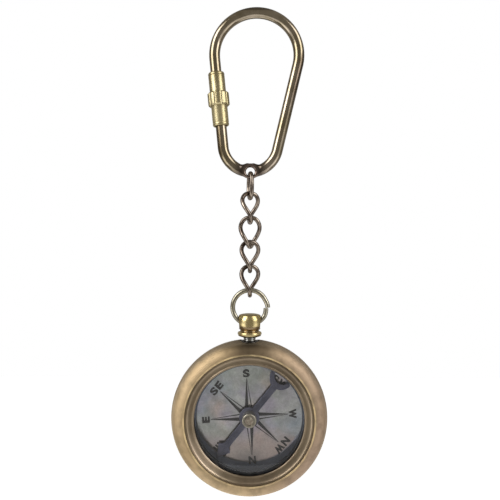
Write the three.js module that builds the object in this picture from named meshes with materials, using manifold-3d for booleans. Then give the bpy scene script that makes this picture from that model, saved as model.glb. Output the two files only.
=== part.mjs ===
// Compass keychain: a pear carabiner with a screw sleeve, a short curb chain and a pocket compass.
// It hangs from the inside of the carabiner's wide bend, which is the origin. +Z is up and the
// compass faces -Y. All sizes are in millimetres and all angles in degrees.

import * as THREE from 'three';
import { mergeVertices } from 'three/addons/utils/BufferGeometryUtils.js';
import Module from 'manifold-3d';

const wasm = await Module();
wasm.setup();

// Fits
const slideFit = 0.2; // radial play of the sleeve on its wire
const pressFit = 0.1; // radial play between turned pieces that are pressed or screwed together
const seatGap = 0.05; // between faces that rest on each other
const linkGap = 0.2; // play between two wires that hook into each other
const cutterRun = 1; // that a cutter runs past the piece it cuts

// Carabiner
const wireRadius = 1.4;
const wideBend = 10.82; // to the middle of the wire
const narrowBend = 7.05;
const bendSpacing = 22.95; // between the centres of the two bends
const lean = 3.8; // of the pear, to the right
const eyePlay = 0.61; // between the first link's wire and the eye
const eyeWall = 1; // metal round the eye
const eyeThickness = 1.6;
const eyeRounding = 0.5; // at both mouths of the eye
const eyeScoopRadius = 8; // of the cutter that makes the two flats
const gateStart = 5; // down the left limb from the wide bend
const gateLength = 3.4;

// Lock sleeve
const sleeveStart = 3.6; // down the left limb from the wide bend
const sleeveLength = 13.7;
const sleeveWall = 0.48;
const sleeveChamfer = 0.3;
const collarStep = 0.7; // that the collar stands out of the sleeve
const collarLength = 3.5;
const collarChamfer = 0.35;
const fluteCount = 10;
const fluteRadius = 0.5;
const fluteDepth = 0.3;

// Chain
const linkWire = 0.54;
const firstLinkInnerLength = 5.3;
const firstLinkInnerWidth = 3.2;
const curbLinkInnerLength = 6.43;
const firstLinkTurn = 101; // about the plumb line, from facing the front
const curbLinkInnerWidth = 4.1;
const linkOvalPower = 0.85; // 1 for an ellipse, less for blunter ends
const curbTwist = 80; // from the top to the bottom of a link
const curbTurns = [20, -8, 12, 12]; // of each curb link about the plumb line

// Bow ring
const bowWire = 0.62;
const bowRoom = 0.75; // between the ring and the side of the crown
const bowCutAngle = -2; // up from the right
const bowCutWidth = 3.5;
const bowFlare = 0.45; // of the upper end, outwards
const bowTuck = 0.2; // of the lower end, inwards
const bowBend = 30; // of the round, that each end's bend takes up

// Crown and neck
const crownRadius = 3;
const crownRoof = 0.52; // above the mouths of the cross hole
const crownDome = 0.45;
const crownFloor = 0.5; // under the throat of the cross hole
const crownEdge = 0.2;
const crownPlay = 0.45; // between the ring and the throat of the cross hole
const crownGrooveDepth = 0.33;
const crownGrooveWidth = 0.5;
const crownCollarStep = 0.08;
const crownCollarHeight = 1.2;
const crownTaperHeight = 0.45;
const crownSocketDepth = 1.4;
const neckRadius = 1.57;
const neckLength = 0.7;
const neckShoulder = 0.52;
const caseSocketDepth = 2.6;
const washerBrim = 0.93; // past the neck
const washerThickness = 0.35;

// Case
const caseRadius = 20;
const caseWall = 4.9;
const beltHeight = 5.8; // from the back to where the case is widest
const backRounding = 6.5;
const backThickness = 1.3;
const ledgeHeight = 4.5; // from the back to the dial's seat
const ledgeWidth = 2.5;
const rimWidth = 0.15;
const rimStand = 0.2; // above the bezel
const neckSeatDepth = 0.75; // of the flat that the washer lies on

// Dial, spacer, glass and bezel
const dialThickness = 0.6;
const spacerHeight = 2.3;
const spacerWall = 1.55;
const glassEdge = 1.2;
const glassRim = 1.6; // flat part under the lip
const glassRise = 1.75; // of the dome
const glassCentre = 0.9; // thickness in the middle
const bezelGrip = 0.75; // that the bezel reaches down round the glass
const bezelSeatWidth = 1.1;
const bezelLand = 0.35; // flat top of its outer wall
const bezelRise = 0.34; // above the lip
const lipReach = 1.2; // over the glass
const lipBead = 0.28;
const coveSink = 0.2; // below the top of the lip

// Needle
const needleLift = 0.6; // above the dial
const needleThickness = 0.3;
const needleAngle = 39; // clockwise from up
const needleWidth = 1.65;
const needleTipGap = 0.25; // between the tip and the spacer
const hubRadius = 2.6;
const crescentRadius = 2.95;
const crescentHollow = 2.25; // radius of the bite
const crescentShift = 0.85; // of the bite, outwards
const crescentSetBack = 0.35; // of the crescent's middle from the reach of the tip
const arrowLength = 4;
const arrowBarbLength = 0.87; // from where the arrow starts to its widest part
const arrowHalfWidth = 1.9;
const capRadius = 1.8;
const capChamfer = 0.3;
const capHeadroom = 0.35; // under the glass
const capSkirtRadius = 1.25;
const capSkirtLength = 0.25; // below the needle
const capBore = 0.85;
const jewelSeatDepth = 1.1;
const jewelRadius = 1.1;
const jewelDimple = 0.45;
const jewelSink = 0.15; // below the top of the cap
const pinRadius = 0.45;
const pinPoint = 1.6; // length of its taper
const pinPlay = 0.12; // between its tip and the jewel
const bushRadius = 1.3;
const bushFlange = 0.3;
const bushBrim = 0.6;
const bushBore = 0.6;

// Facets
const wireSides = 10;
const wireSteps = 64;
const linkSides = 8;
const linkSteps = 28;
const bowSteps = 36;
const caseSides = 48;
const smallSides = 20;

const radians = THREE.MathUtils.degToRad;
const point = (x, y) => new THREE.Vector2(x, y);

const antiqueBrass = { color: 0x8a6a2f, roughness: 0.32, metalness: 1 };
const darkBrass = { color: 0x4a3f2a, roughness: 0.35, metalness: 1 };
const yellowBrass = { color: 0xc9a24a, roughness: 0.28, metalness: 1 };
const caseBrass = { color: 0xb98a4c, roughness: 0.35, metalness: 1 };
const gunmetal = { color: 0x3b342d, roughness: 0.4, metalness: 1 };
const steel = { color: 0xb9b9b4, roughness: 0.3, metalness: 1 };
const bluedSteel = { color: 0x20252e, roughness: 0.4, metalness: 0.8 };
const silverDial = { color: 0x9d9c98, roughness: 0.5, metalness: 0.6 };
const blackPaint = { color: 0x17140f, roughness: 0.7, metalness: 0 };
const clearGlass = { color: 0xeef2f2, roughness: 0.05, metalness: 0, transparent: true, opacity: 0.3 };
const brownJewel = { color: 0x6e4a3a, roughness: 0.2, metalness: 0 };

function piece(name, geometry, finish) {
  const mesh = new THREE.Mesh(geometry, new THREE.MeshStandardMaterial(finish));
  mesh.name = name;
  return mesh;
}

function toSolid(geometry) {
  const bare = geometry.clone();
  bare.deleteAttribute('normal');
  bare.deleteAttribute('uv');
  const merged = mergeVertices(bare, 1e-4);
  const corners = [];
  const index = merged.index.array;
  for (let i = 0; i < index.length; i += 3) {
    const [a, b, c] = index.subarray(i, i + 3);
    // a triangle that closes on the axis of a revolve has two corners in one place
    if (a !== b && b !== c && c !== a) corners.push(a, b, c);
  }
  const mesh = new wasm.Mesh({
    numProp: 3,
    vertProperties: new Float32Array(merged.attributes.position.array),
    triVerts: new Uint32Array(corners),
  });
  return new wasm.Manifold(mesh);
}

function toGeometry(solid) {
  const mesh = solid.getMesh();
  const geometry = new THREE.BufferGeometry();
  geometry.setAttribute('position', new THREE.BufferAttribute(new Float32Array(mesh.vertProperties), 3));
  geometry.setIndex([...mesh.triVerts]);
  geometry.computeVertexNormals();
  return geometry;
}

function join(first, ...others) {
  return toGeometry(others.reduce((sum, next) => sum.add(toSolid(next)), toSolid(first)));
}

function cut(first, ...tools) {
  return toGeometry(tools.reduce((rest, tool) => rest.subtract(toSolid(tool)), toSolid(first)));
}

function arc(centreX, centreY, radiusX, radiusY, from, to, steps) {
  const curve = new THREE.EllipseCurve(
    centreX, centreY, radiusX, radiusY, radians(from), radians(to), to < from,
  );
  return curve.getPoints(steps);
}

// A revolve about Y: the outline runs anticlockwise, with the radius to the right.
const turned = (outline, sides) => new THREE.LatheGeometry(outline, sides);

// A ring's outline closes on itself.
const turnedRing = (outline, sides) => turned([...outline, outline[0].clone()], sides);

function disc(radius, bottom, top, sides) {
  return turned([point(0, bottom), point(radius, bottom), point(radius, top), point(0, top)], sides);
}

function roundSection(radius, sides) {
  return new THREE.Shape(new THREE.EllipseCurve(0, 0, radius, radius).getPoints(sides).slice(0, -1));
}

// A flat path drawn in X and Z.
class UprightCurve extends THREE.Curve {
  constructor(path) {
    super();
    this.path = path;
  }

  getPoint(t, target = new THREE.Vector3()) {
    const { x, y } = this.path.getPointAt(t);
    return target.set(x, 0, y);
  }
}

function wireAlong(curve, radius, sides, steps) {
  return new THREE.ExtrudeGeometry(roundSection(radius, sides), { extrudePath: curve, steps });
}

// Places that follow from the sizes above

const leanSin = Math.sin(radians(lean));
const leanCos = Math.cos(radians(lean));
const wideCentreX = bendSpacing * leanSin;
const wideCentreZ = -Math.sqrt((wideBend - wireRadius) ** 2 - wideCentreX ** 2);
const narrowCentreZ = wideCentreZ - bendSpacing * leanCos;
const limbTaper = Math.asin((wideBend - narrowBend) / bendSpacing);
const limbTilt = radians(lean) - limbTaper; // of the left limb, from plumb
const eyeZ = narrowCentreZ - narrowBend;
const eyeHoleRadius = linkWire + eyePlay;

// A point on the left limb, at a length down from the wide bend.
function onLeftLimb(length) {
  const side = -Math.cos(limbTilt) * wideBend;
  const drop = Math.sin(limbTilt) * wideBend;
  return new THREE.Vector3(
    wideCentreX + side - Math.sin(limbTilt) * length,
    0,
    wideCentreZ + drop - Math.cos(limbTilt) * length,
  );
}

// A link's length and width run between the middles of its wires.
const firstLinkLength = firstLinkInnerLength + 2 * linkWire;
const curbLinkLength = curbLinkInnerLength + 2 * linkWire;
const firstLinkTop = eyeZ - eyeHoleRadius + linkWire + linkGap;
const curbPitch = curbLinkInnerLength - linkGap;
const firstCurbTop = firstLinkTop - firstLinkInnerLength + linkGap;
const curbTops = curbTurns.map((turn, i) => firstCurbTop - i * curbPitch);
const chainBottom = curbTops.at(-1) - curbLinkLength;
const bowRadius = crownRadius + bowRoom + bowWire;
const bowCentreZ = chainBottom + linkWire + linkGap + bowWire - bowRadius;

// The cross hole is a trumpet at both ends, because the ring climbs on its way out of the crown.
const crownThroat = bowWire + crownPlay;
const crownHoleZ = bowCentreZ - bowRadius + crownPlay - linkGap / 2;
const bowSlope = Math.asin(crownRadius / bowRadius);
const bowTopAtMouth = bowCentreZ - bowRadius * Math.cos(bowSlope) + bowWire / Math.cos(bowSlope);
const crownMouth = bowTopAtMouth + linkGap - crownHoleZ;

// Heights on the crown, from the axis of the cross hole
const crownTop = crownMouth + crownRoof;
const crownBottom = -crownThroat - crownFloor;
const crownCollarTop = crownBottom - crownGrooveWidth;
const crownCollarBottom = crownCollarTop - crownCollarHeight;
const crownBase = crownCollarBottom - crownTaperHeight;
const crownCollarRadius = crownRadius + crownCollarStep;
const spigotRadius = neckRadius - neckShoulder;
const washerRadius = neckRadius + washerBrim;

// Heights on the neck, from the centre of the case
const neckSeat = caseRadius - neckSeatDepth;
const washerTop = neckSeat + seatGap + washerThickness;
const neckTop = washerTop + seatGap + neckLength;
const caseZ = crownHoleZ + crownBase - seatGap - neckTop;

// Radii in the case, and heights from its back
const wallRadius = caseRadius - caseWall;
const insertRadius = wallRadius - pressFit; // of what drops into the case
const bezelRadius = wallRadius + bezelSeatWidth;
const spacerInnerRadius = insertRadius - spacerWall;
const dialBottom = ledgeHeight + seatGap;
const dialTop = dialBottom + dialThickness;
const spacerBottom = dialTop + seatGap;
const spacerTop = spacerBottom + spacerHeight;
const glassBottom = spacerTop + seatGap;
const glassShoulder = glassBottom + glassEdge;
const glassInnerTop = glassShoulder + glassRise - glassCentre;
const bezelBottom = glassShoulder - bezelGrip;
const lipBottom = glassShoulder + seatGap;
const lipTop = lipBottom + 2 * lipBead;
const bezelTop = lipTop + bezelRise;
const rimHeight = bezelTop + rimStand;
const needleHeight = dialTop + needleLift;
const needleReach = spacerInnerRadius - needleTipGap;
const capTop = glassInnerTop - capHeadroom;
const jewelBottom = capTop - jewelSeatDepth + seatGap;

function carabinerLoop() {
  const left = 180 + THREE.MathUtils.radToDeg(limbTaper);
  const right = -THREE.MathUtils.radToDeg(limbTaper);
  const limbLength = Math.sqrt(bendSpacing ** 2 - (wideBend - narrowBend) ** 2);
  const down = point(Math.sin(limbTaper), -Math.cos(limbTaper));
  const wideEnd = point(-Math.cos(limbTaper), -Math.sin(limbTaper)).multiplyScalar(wideBend);
  const upperEnd = wideEnd.clone().addScaledVector(down, gateStart);
  const lowerEnd = wideEnd.clone().addScaledVector(down, gateStart + gateLength);

  const path = new THREE.Path();
  path.moveTo(upperEnd.x, upperEnd.y);
  path.lineTo(wideEnd.x, wideEnd.y);
  path.absarc(0, 0, wideBend, radians(left), radians(right), true);
  path.lineTo(-wideEnd.x + down.x * -limbLength, wideEnd.y + down.y * limbLength);
  path.absarc(0, -bendSpacing, narrowBend, radians(right), radians(left), true);
  path.lineTo(lowerEnd.x, lowerEnd.y);
  const wire = wireAlong(new UprightCurve(path), wireRadius, wireSides, wireSteps);
  wire.rotateY(radians(lean));
  wire.translate(wideCentreX, 0, wideCentreZ);

  const half = eyeThickness / 2;
  const scoops = [-1, 1].map((side) => {
    const scoop = new THREE.CylinderGeometry(eyeScoopRadius, eyeScoopRadius, 4 * wireRadius, wireSteps);
    scoop.rotateX(Math.PI / 2);
    return scoop.translate(0, side * (half + eyeScoopRadius), eyeZ);
  });
  const bossRadius = eyeHoleRadius + eyeWall;
  const boss = disc(bossRadius, -half, half, smallSides);
  const straight = half - eyeRounding;
  const hole = turned([
    point(0, -half - cutterRun),
    point(eyeHoleRadius + eyeRounding, -half - cutterRun),
    ...arc(eyeHoleRadius + eyeRounding, -straight, eyeRounding, eyeRounding, 270, 180, 3),
    ...arc(eyeHoleRadius + eyeRounding, straight, eyeRounding, eyeRounding, 180, 90, 3),
    point(eyeHoleRadius + eyeRounding, half + cutterRun),
    point(0, half + cutterRun),
  ], smallSides);
  boss.translate(0, 0, eyeZ);
  hole.translate(0, 0, eyeZ);
  return piece('carabiner_loop', cut(join(cut(wire, ...scoops), boss), hole), darkBrass);
}

function lockSleeve() {
  const half = sleeveLength / 2;
  const bore = wireRadius + slideFit;
  const sleeveRadius = bore + sleeveWall;
  const collarRadius = sleeveRadius + collarStep;
  const collarHalf = collarLength / 2;
  const tube = turnedRing([
    point(bore, -half),
    point(sleeveRadius - sleeveChamfer / 2, -half),
    point(sleeveRadius, -half + sleeveChamfer),
    point(sleeveRadius, -collarHalf),
    point(collarRadius - collarChamfer, -collarHalf),
    point(collarRadius, -collarHalf + collarChamfer),
    point(collarRadius, collarHalf - collarChamfer),
    point(collarRadius - collarChamfer, collarHalf),
    point(sleeveRadius, collarHalf),
    point(sleeveRadius, half - sleeveChamfer),
    point(sleeveRadius - sleeveChamfer / 2, half),
    point(bore, half),
  ], smallSides);
  const flutes = Array.from({ length: fluteCount }, (_, i) => {
    const flute = new THREE.CylinderGeometry(fluteRadius, fluteRadius, collarLength + cutterRun, linkSides);
    flute.translate(collarRadius - fluteDepth + fluteRadius, 0, 0);
    return flute.rotateY((i * 2 * Math.PI) / fluteCount);
  });
  const sleeve = piece('lock_sleeve', cut(tube, ...flutes).rotateX(Math.PI / 2), yellowBrass);
  sleeve.position.copy(onLeftLimb(sleeveStart + half));
  sleeve.rotation.y = limbTilt;
  return sleeve;
}

// A closed oval link, drawn down from the middle of its top wire. It is twisted about the plumb line
// as it goes down, so that its two ends lie across each other.
class LinkCurve extends THREE.Curve {
  constructor(length, width, turn, twist) {
    super();
    Object.assign(this, { length, width, turn, twist });
  }

  getPoint(t, target = new THREE.Vector3()) {
    const blunt = (share) => Math.sign(share) * Math.abs(share) ** linkOvalPower;
    const aside = (this.width / 2) * blunt(Math.sin(2 * Math.PI * t));
    const depth = (1 - blunt(Math.cos(2 * Math.PI * t))) / 2;
    const angle = radians(this.turn + this.twist * THREE.MathUtils.smoothstep(depth, 0, 1));
    return target.set(aside * Math.cos(angle), aside * Math.sin(angle), -this.length * depth);
  }
}

function chainLink(name, top, ...shape) {
  const wire = new THREE.TubeGeometry(new LinkCurve(...shape), linkSteps, linkWire, linkSides, true);
  const link = piece(name, wire, gunmetal);
  link.position.z = top;
  return link;
}

function chainLinks() {
  const firstLinkWidth = firstLinkInnerWidth + 2 * linkWire;
  const curbLinkWidth = curbLinkInnerWidth + 2 * linkWire;
  const first = chainLink('chain_link_1', firstLinkTop, firstLinkLength, firstLinkWidth, firstLinkTurn, 0);
  const curb = curbTurns.map((turn, i) =>
    chainLink(`chain_link_${i + 2}`, curbTops[i], curbLinkLength, curbLinkWidth, turn, curbTwist),
  );
  return [first, ...curb];
}

// A round ring cut at one place, its upper end sprung outwards and its lower end inwards.
class BowCurve extends THREE.Curve {
  getPoint(t, target = new THREE.Vector3()) {
    const angle = radians(bowCutAngle + bowCutWidth / 2 + t * (360 - bowCutWidth));
    const bent = bowBend / 360;
    const out = bowFlare * (1 - THREE.MathUtils.smoothstep(t, 0, bent));
    const tuck = bowTuck * THREE.MathUtils.smoothstep(t, 1 - bent, 1);
    const radius = bowRadius + out - tuck;
    return target.set(radius * Math.cos(angle), 0, radius * Math.sin(angle));
  }
}

function bowRing() {
  const ring = piece('bow_ring', wireAlong(new BowCurve(), bowWire, linkSides, bowSteps), darkBrass);
  ring.position.z = bowCentreZ;
  return ring;
}

function crown() {
  const domeBase = crownTop - crownDome;
  const grooveRadius = crownRadius - crownGrooveDepth;
  const body = turned([
    point(0, crownBase),
    point(neckRadius, crownBase),
    point(crownCollarRadius - crownEdge, crownCollarBottom),
    point(crownCollarRadius, crownCollarBottom + crownEdge),
    point(crownCollarRadius, crownCollarTop - crownEdge),
    point(grooveRadius, crownCollarTop),
    point(grooveRadius, crownBottom),
    point(crownRadius, crownBottom + crownEdge),
    ...arc(0, domeBase, crownRadius, crownDome, 0, 90, 4),
  ], smallSides);
  const reach = crownCollarRadius + cutterRun;
  const throat = (x) => crownThroat + (crownMouth - crownThroat) * (Math.abs(x) / crownRadius) ** 2;
  const stations = [-1, -0.66, -0.33, 0, 0.33, 0.66, 1].map((share) => share * crownRadius);
  const hole = turned([
    point(0, -reach),
    point(crownMouth, -reach),
    ...stations.map((x) => point(throat(x), x)),
    point(crownMouth, reach),
    point(0, reach),
  ], smallSides).rotateZ(Math.PI / 2);
  // The ring only climbs, so the mouths stay closed below the throat.
  const sill = new THREE.BoxGeometry(2 * (reach + cutterRun), 3 * crownMouth, 2 * crownMouth);
  sill.translate(0, 0, -crownThroat - crownMouth);
  const socketTop = crownBase + crownSocketDepth;
  const socket = disc(spigotRadius + pressFit, crownBase - cutterRun, socketTop, smallSides);
  for (const upright of [body, socket]) upright.rotateX(Math.PI / 2);
  const knob = piece('crown', cut(body, cut(hole, sill), socket), yellowBrass);
  knob.position.z = crownHoleZ;
  return knob;
}

// The stud and its washer stand on the case, with heights measured from the case's centre.
function neck() {
  const stud = turned([
    point(0, neckSeat - caseSocketDepth + seatGap),
    point(spigotRadius, neckSeat - caseSocketDepth + seatGap),
    point(spigotRadius, washerTop + seatGap),
    point(neckRadius, washerTop + seatGap),
    point(neckRadius, neckTop),
    point(spigotRadius, neckTop),
    point(spigotRadius, neckTop + crownSocketDepth - seatGap),
    point(0, neckTop + crownSocketDepth - seatGap),
  ], smallSides);
  const washer = turnedRing([
    point(spigotRadius + pressFit, neckSeat + seatGap),
    point(washerRadius, neckSeat + seatGap),
    point(washerRadius, washerTop),
    point(spigotRadius + pressFit, washerTop),
  ], smallSides);
  const pieces = [piece('neck_stud', stud, steel), piece('neck_washer', washer, gunmetal)];
  for (const mesh of pieces) {
    mesh.geometry.rotateX(Math.PI / 2);
    mesh.position.z = caseZ;
  }
  return pieces;
}

function caseBody() {
  const backRadius = caseRadius - backRounding;
  const hollowRadius = wallRadius - ledgeWidth;
  const bezelBore = bezelRadius + pressFit;
  const rimRadius = bezelBore + rimWidth;
  const bezelSeat = bezelBottom - seatGap;
  const body = turned([
    point(0, 0),
    ...arc(backRadius, beltHeight, backRounding, beltHeight, 270, 360, 6),
    ...arc(rimRadius, beltHeight, caseRadius - rimRadius, rimHeight - beltHeight, 0, 90, 6).slice(1),
    point(bezelBore, rimHeight),
    point(bezelBore, bezelSeat),
    point(wallRadius, bezelSeat),
    point(wallRadius, ledgeHeight),
    point(hollowRadius, ledgeHeight),
    point(hollowRadius, backThickness),
    point(0, backThickness),
  ], caseSides);
  const seat = disc(washerRadius + pressFit, neckSeat, caseRadius + cutterRun, smallSides);
  const socket = disc(spigotRadius + pressFit, neckSeat - caseSocketDepth, caseRadius, smallSides);
  for (const tool of [seat, socket]) tool.rotateX(-Math.PI / 2).translate(0, beltHeight, 0);
  return piece('case_body', cut(body, seat, socket), caseBrass);
}

// The bezel's face is a hollow cove between its outer land and the bead of its lip.
function bezel() {
  const lipRadius = wallRadius - lipReach;
  const coveInner = lipRadius + 2 * lipBead;
  const coveWidth = bezelRadius - bezelLand - coveInner;
  const outline = [
    point(wallRadius, bezelBottom),
    point(bezelRadius, bezelBottom),
    point(bezelRadius, bezelTop),
    ...arc(coveInner, bezelTop, coveWidth, bezelRise + coveSink, 360, 270, 5),
    ...arc(lipRadius + lipBead, lipBottom + lipBead, lipBead, lipBead, 45, 270, 5),
    point(wallRadius, lipBottom),
  ];
  return piece('bezel', turnedRing(outline, caseSides), antiqueBrass);
}

// A dome from the flat rim to the middle, as a list of points running inwards.
function domeOutline(radius, edge, middle, steps) {
  const rise = middle - edge;
  const sphere = (radius ** 2 + rise ** 2) / (2 * rise);
  const start = THREE.MathUtils.radToDeg(Math.acos(radius / sphere));
  return arc(0, middle - sphere, sphere, sphere, start, 90, steps);
}

function glass() {
  const domeRadius = insertRadius - glassRim;
  const outline = [
    ...domeOutline(domeRadius - glassEdge / 2, glassBottom, glassInnerTop, 5).reverse(),
    point(insertRadius, glassBottom),
    point(insertRadius, glassShoulder),
    ...domeOutline(domeRadius, glassShoulder, glassShoulder + glassRise, 5),
  ];
  return piece('glass', turned(outline, caseSides), clearGlass);
}

function dialParts() {
  const bushHole = bushRadius + pressFit;
  const plate = turnedRing([
    point(bushHole, dialBottom),
    point(insertRadius, dialBottom),
    point(insertRadius, dialTop),
    point(bushHole, dialTop),
  ], caseSides);
  const spacer = turnedRing([
    point(spacerInnerRadius, spacerBottom),
    point(insertRadius, spacerBottom),
    point(insertRadius, spacerTop),
    point(spacerInnerRadius, spacerTop),
  ], caseSides);
  const flangeRadius = bushRadius + bushBrim;
  const flangeTop = dialBottom - seatGap;
  const bush = turnedRing([
    point(bushBore, flangeTop - bushFlange),
    point(flangeRadius, flangeTop - bushFlange),
    point(flangeRadius, flangeTop),
    point(bushRadius, flangeTop),
    point(bushRadius, dialTop),
    point(bushBore, dialTop),
  ], smallSides);
  const pinFit = bushBore - pressFit / 2;
  const tip = jewelBottom + jewelDimple - pinPlay;
  const pin = turned([
    point(0, flangeTop - bushFlange),
    point(pinFit, flangeTop - bushFlange),
    point(pinFit, dialTop),
    point(pinRadius, dialTop),
    point(pinRadius, tip - pinPoint),
    point(0, tip),
  ], smallSides);
  return [
    piece('dial_plate', plate, silverDial),
    piece('spacer_ring', spacer, blackPaint),
    piece('pivot_bush', bush, yellowBrass),
    piece('pivot_pin', pin, steel),
  ];
}

// The needle lies in X and Y here, with its crescent towards +Y, before it is laid on the dial.
function needleOutline() {
  const half = needleWidth / 2;
  const degrees = THREE.MathUtils.radToDeg;
  const crescentReach = needleReach - crescentSetBack;
  const biteReach = crescentReach + crescentShift;
  const arrowStart = needleReach - arrowLength;
  const hubSide = degrees(Math.asin(half / hubRadius));
  const crescentSide = degrees(Math.asin(half / crescentRadius));
  // The horns end where the needle's reach crosses the crescent's circle and the bite's.
  const endAngle = (centre, radius) => {
    const height = (needleReach ** 2 + centre ** 2 - radius ** 2) / (2 * centre);
    return degrees(Math.atan2(height - centre, Math.sqrt(needleReach ** 2 - height ** 2)));
  };
  const horn = endAngle(crescentReach, crescentRadius);
  const bite = endAngle(biteReach, crescentHollow);
  return new THREE.Shape([
    ...arc(0, 0, hubRadius, hubRadius, -90 + hubSide, 90 - hubSide, 8),
    ...arc(0, crescentReach, crescentRadius, crescentRadius, -90 + crescentSide, horn, 8),
    ...arc(0, biteReach, crescentHollow, crescentHollow, bite, -180 - bite, 10),
    ...arc(0, crescentReach, crescentRadius, crescentRadius, 180 - horn, 270 - crescentSide, 8),
    ...arc(0, 0, hubRadius, hubRadius, 90 + hubSide, 270 - hubSide, 8),
    point(-half, -arrowStart),
    point(-arrowHalfWidth, -arrowStart - arrowBarbLength),
    point(0, -needleReach),
    point(arrowHalfWidth, -arrowStart - arrowBarbLength),
    point(half, -arrowStart),
  ]);
}

function needleParts() {
  const outline = needleOutline();
  const skirtHole = capSkirtRadius + pressFit;
  outline.holes.push(new THREE.Path(arc(0, 0, skirtHole, skirtHole, 0, -360, smallSides).slice(0, -1)));
  const blade = new THREE.ExtrudeGeometry(outline, { depth: needleThickness, bevelEnabled: false });
  blade.rotateX(-Math.PI / 2).translate(0, needleHeight, 0);

  const shoulder = needleHeight + needleThickness + seatGap;
  const seat = jewelBottom - seatGap;
  const jewelHole = jewelRadius + pressFit;
  const cap = turnedRing([
    point(capBore, needleHeight - capSkirtLength),
    point(capSkirtRadius, needleHeight - capSkirtLength),
    point(capSkirtRadius, shoulder),
    point(capRadius, shoulder),
    point(capRadius, capTop - capChamfer),
    point(capRadius - capChamfer, capTop),
    point(jewelHole, capTop),
    point(jewelHole, seat),
    point(capBore, seat),
  ], smallSides);
  const jewel = turned([
    point(0, jewelBottom + jewelDimple),
    point(jewelDimple, jewelBottom),
    point(jewelRadius, jewelBottom),
    point(jewelRadius, capTop - jewelSink),
    point(0, capTop - jewelSink),
  ], smallSides);
  return [
    piece('needle', blade, bluedSteel),
    piece('needle_cap', cap, yellowBrass),
    piece('cap_jewel', jewel, brownJewel),
  ];
}

// The compass is turned about its own axis, from the back of the case to the glass, and then
// stood on edge with the glass towards -Y and the belt of the case on the plumb line.
function compass() {
  const needleGroup = new THREE.Group();
  needleGroup.add(...needleParts());
  needleGroup.rotation.y = radians(-needleAngle);
  const stack = new THREE.Group();
  stack.add(caseBody(), bezel(), glass(), ...dialParts(), needleGroup);
  stack.rotation.x = Math.PI;
  stack.position.set(0, beltHeight, caseZ);
  return stack;
}

const keychain = new THREE.Group();
keychain.add(carabinerLoop(), lockSleeve(), ...chainLinks(), bowRing(), crown(), ...neck(), compass());

export default keychain;
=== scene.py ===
# %% [markdown]
# # A compass keychain in antique brass
# The real keychain is a pear-shaped carabiner with a screw sleeve, a short twisted chain, a cut
# ring and a small pocket compass. Its solids, their sizes and their joints are already fixed in
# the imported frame. This lesson gives each of them its real surface: soft edges, a screw thread,
# a printed dial, old brass and domed glass. Nothing here moves or resizes a solid, so each new
# piece takes the place of one and rides on the same moving body.

# %% Load the frame
import math

import bpy
from mathutils import Matrix, Vector


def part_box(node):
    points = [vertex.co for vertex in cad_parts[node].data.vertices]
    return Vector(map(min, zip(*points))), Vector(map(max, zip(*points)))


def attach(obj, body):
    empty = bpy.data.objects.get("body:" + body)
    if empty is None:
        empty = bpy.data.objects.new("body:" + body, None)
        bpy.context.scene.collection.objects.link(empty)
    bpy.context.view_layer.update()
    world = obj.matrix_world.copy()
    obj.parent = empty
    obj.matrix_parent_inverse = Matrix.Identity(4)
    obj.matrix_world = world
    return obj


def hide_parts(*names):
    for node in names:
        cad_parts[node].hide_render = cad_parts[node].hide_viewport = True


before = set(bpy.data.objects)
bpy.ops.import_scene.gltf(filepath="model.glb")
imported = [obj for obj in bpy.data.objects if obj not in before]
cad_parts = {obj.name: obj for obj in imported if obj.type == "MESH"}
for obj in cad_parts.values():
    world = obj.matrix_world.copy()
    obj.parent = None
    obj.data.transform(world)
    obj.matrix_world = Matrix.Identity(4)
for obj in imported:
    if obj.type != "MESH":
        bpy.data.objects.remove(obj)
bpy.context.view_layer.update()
MM = 0.001  # sizes below are in millimetres, and Blender works in metres

# %% [markdown]
# ## The camera
# The photograph was taken from straight in front, at the height of the chain. A camera 150 mm
# away with a lens of 42 mm gives the same frame, so that the carabiner is at the top edge and
# the case at the bottom one. It looks along +Y and is turned a touch about its own line of
# sight, because the hanging line in the photograph leans a little.

# %% Camera
LENS, CAMERA_ROLL = 42.1, math.radians(0.25)
CAMERA_PLACE = Vector((0, -150, -59.3)) * MM
QUARTER_TURN = math.radians(90)

bpy.ops.object.camera_add()
camera = bpy.context.object
camera.data.lens = LENS
camera.data.clip_start = MM
camera.matrix_world = (
    Matrix.Translation(CAMERA_PLACE)
    @ Matrix.Rotation(QUARTER_TURN, 4, "X")
    @ Matrix.Rotation(CAMERA_ROLL, 4, "Z")
)
bpy.context.scene.camera = camera
bpy.context.scene.view_settings.view_transform = "Standard"
print("camera lens:", LENS, "mm")

# %% [markdown]
# ## Light for polished metal
# Polished metal has hardly any colour of its own: it shows the room. In the photograph every
# round wire has a dark core, a bright streak on either side of it and dark edges. That is what
# two tall soft boxes give, with dark cards between them, and two weak boxes low at the sides.
# Only mirrors see these. A small lamp from below is for the dull surfaces alone: it lights the
# dial, and the bezel's lower edge throws its shadow there as a dark crescent. The white of the
# background comes from the world and from the floor, which are white to the camera, to mirrors
# and through glass, and dim as lamps.


# %% World
WHITE, WORLD_AS_LAMP = 1.0, 0.07


def add_node(tree, kind, inputs=(), **settings):
    """Adds a node. An input is either a plain value or the output that feeds it."""
    made = tree.nodes.new(kind)
    for name, value in settings.items():
        setattr(made, name, value)
    for name, value in dict(inputs).items():
        if isinstance(value, bpy.types.NodeSocket):
            tree.links.new(value, made.inputs[name])
        else:
            made.inputs[name].default_value = value
    return made


def maths(tree, operation, *values):
    return add_node(tree, "ShaderNodeMath", dict(enumerate(values)), operation=operation).outputs[0]


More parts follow.
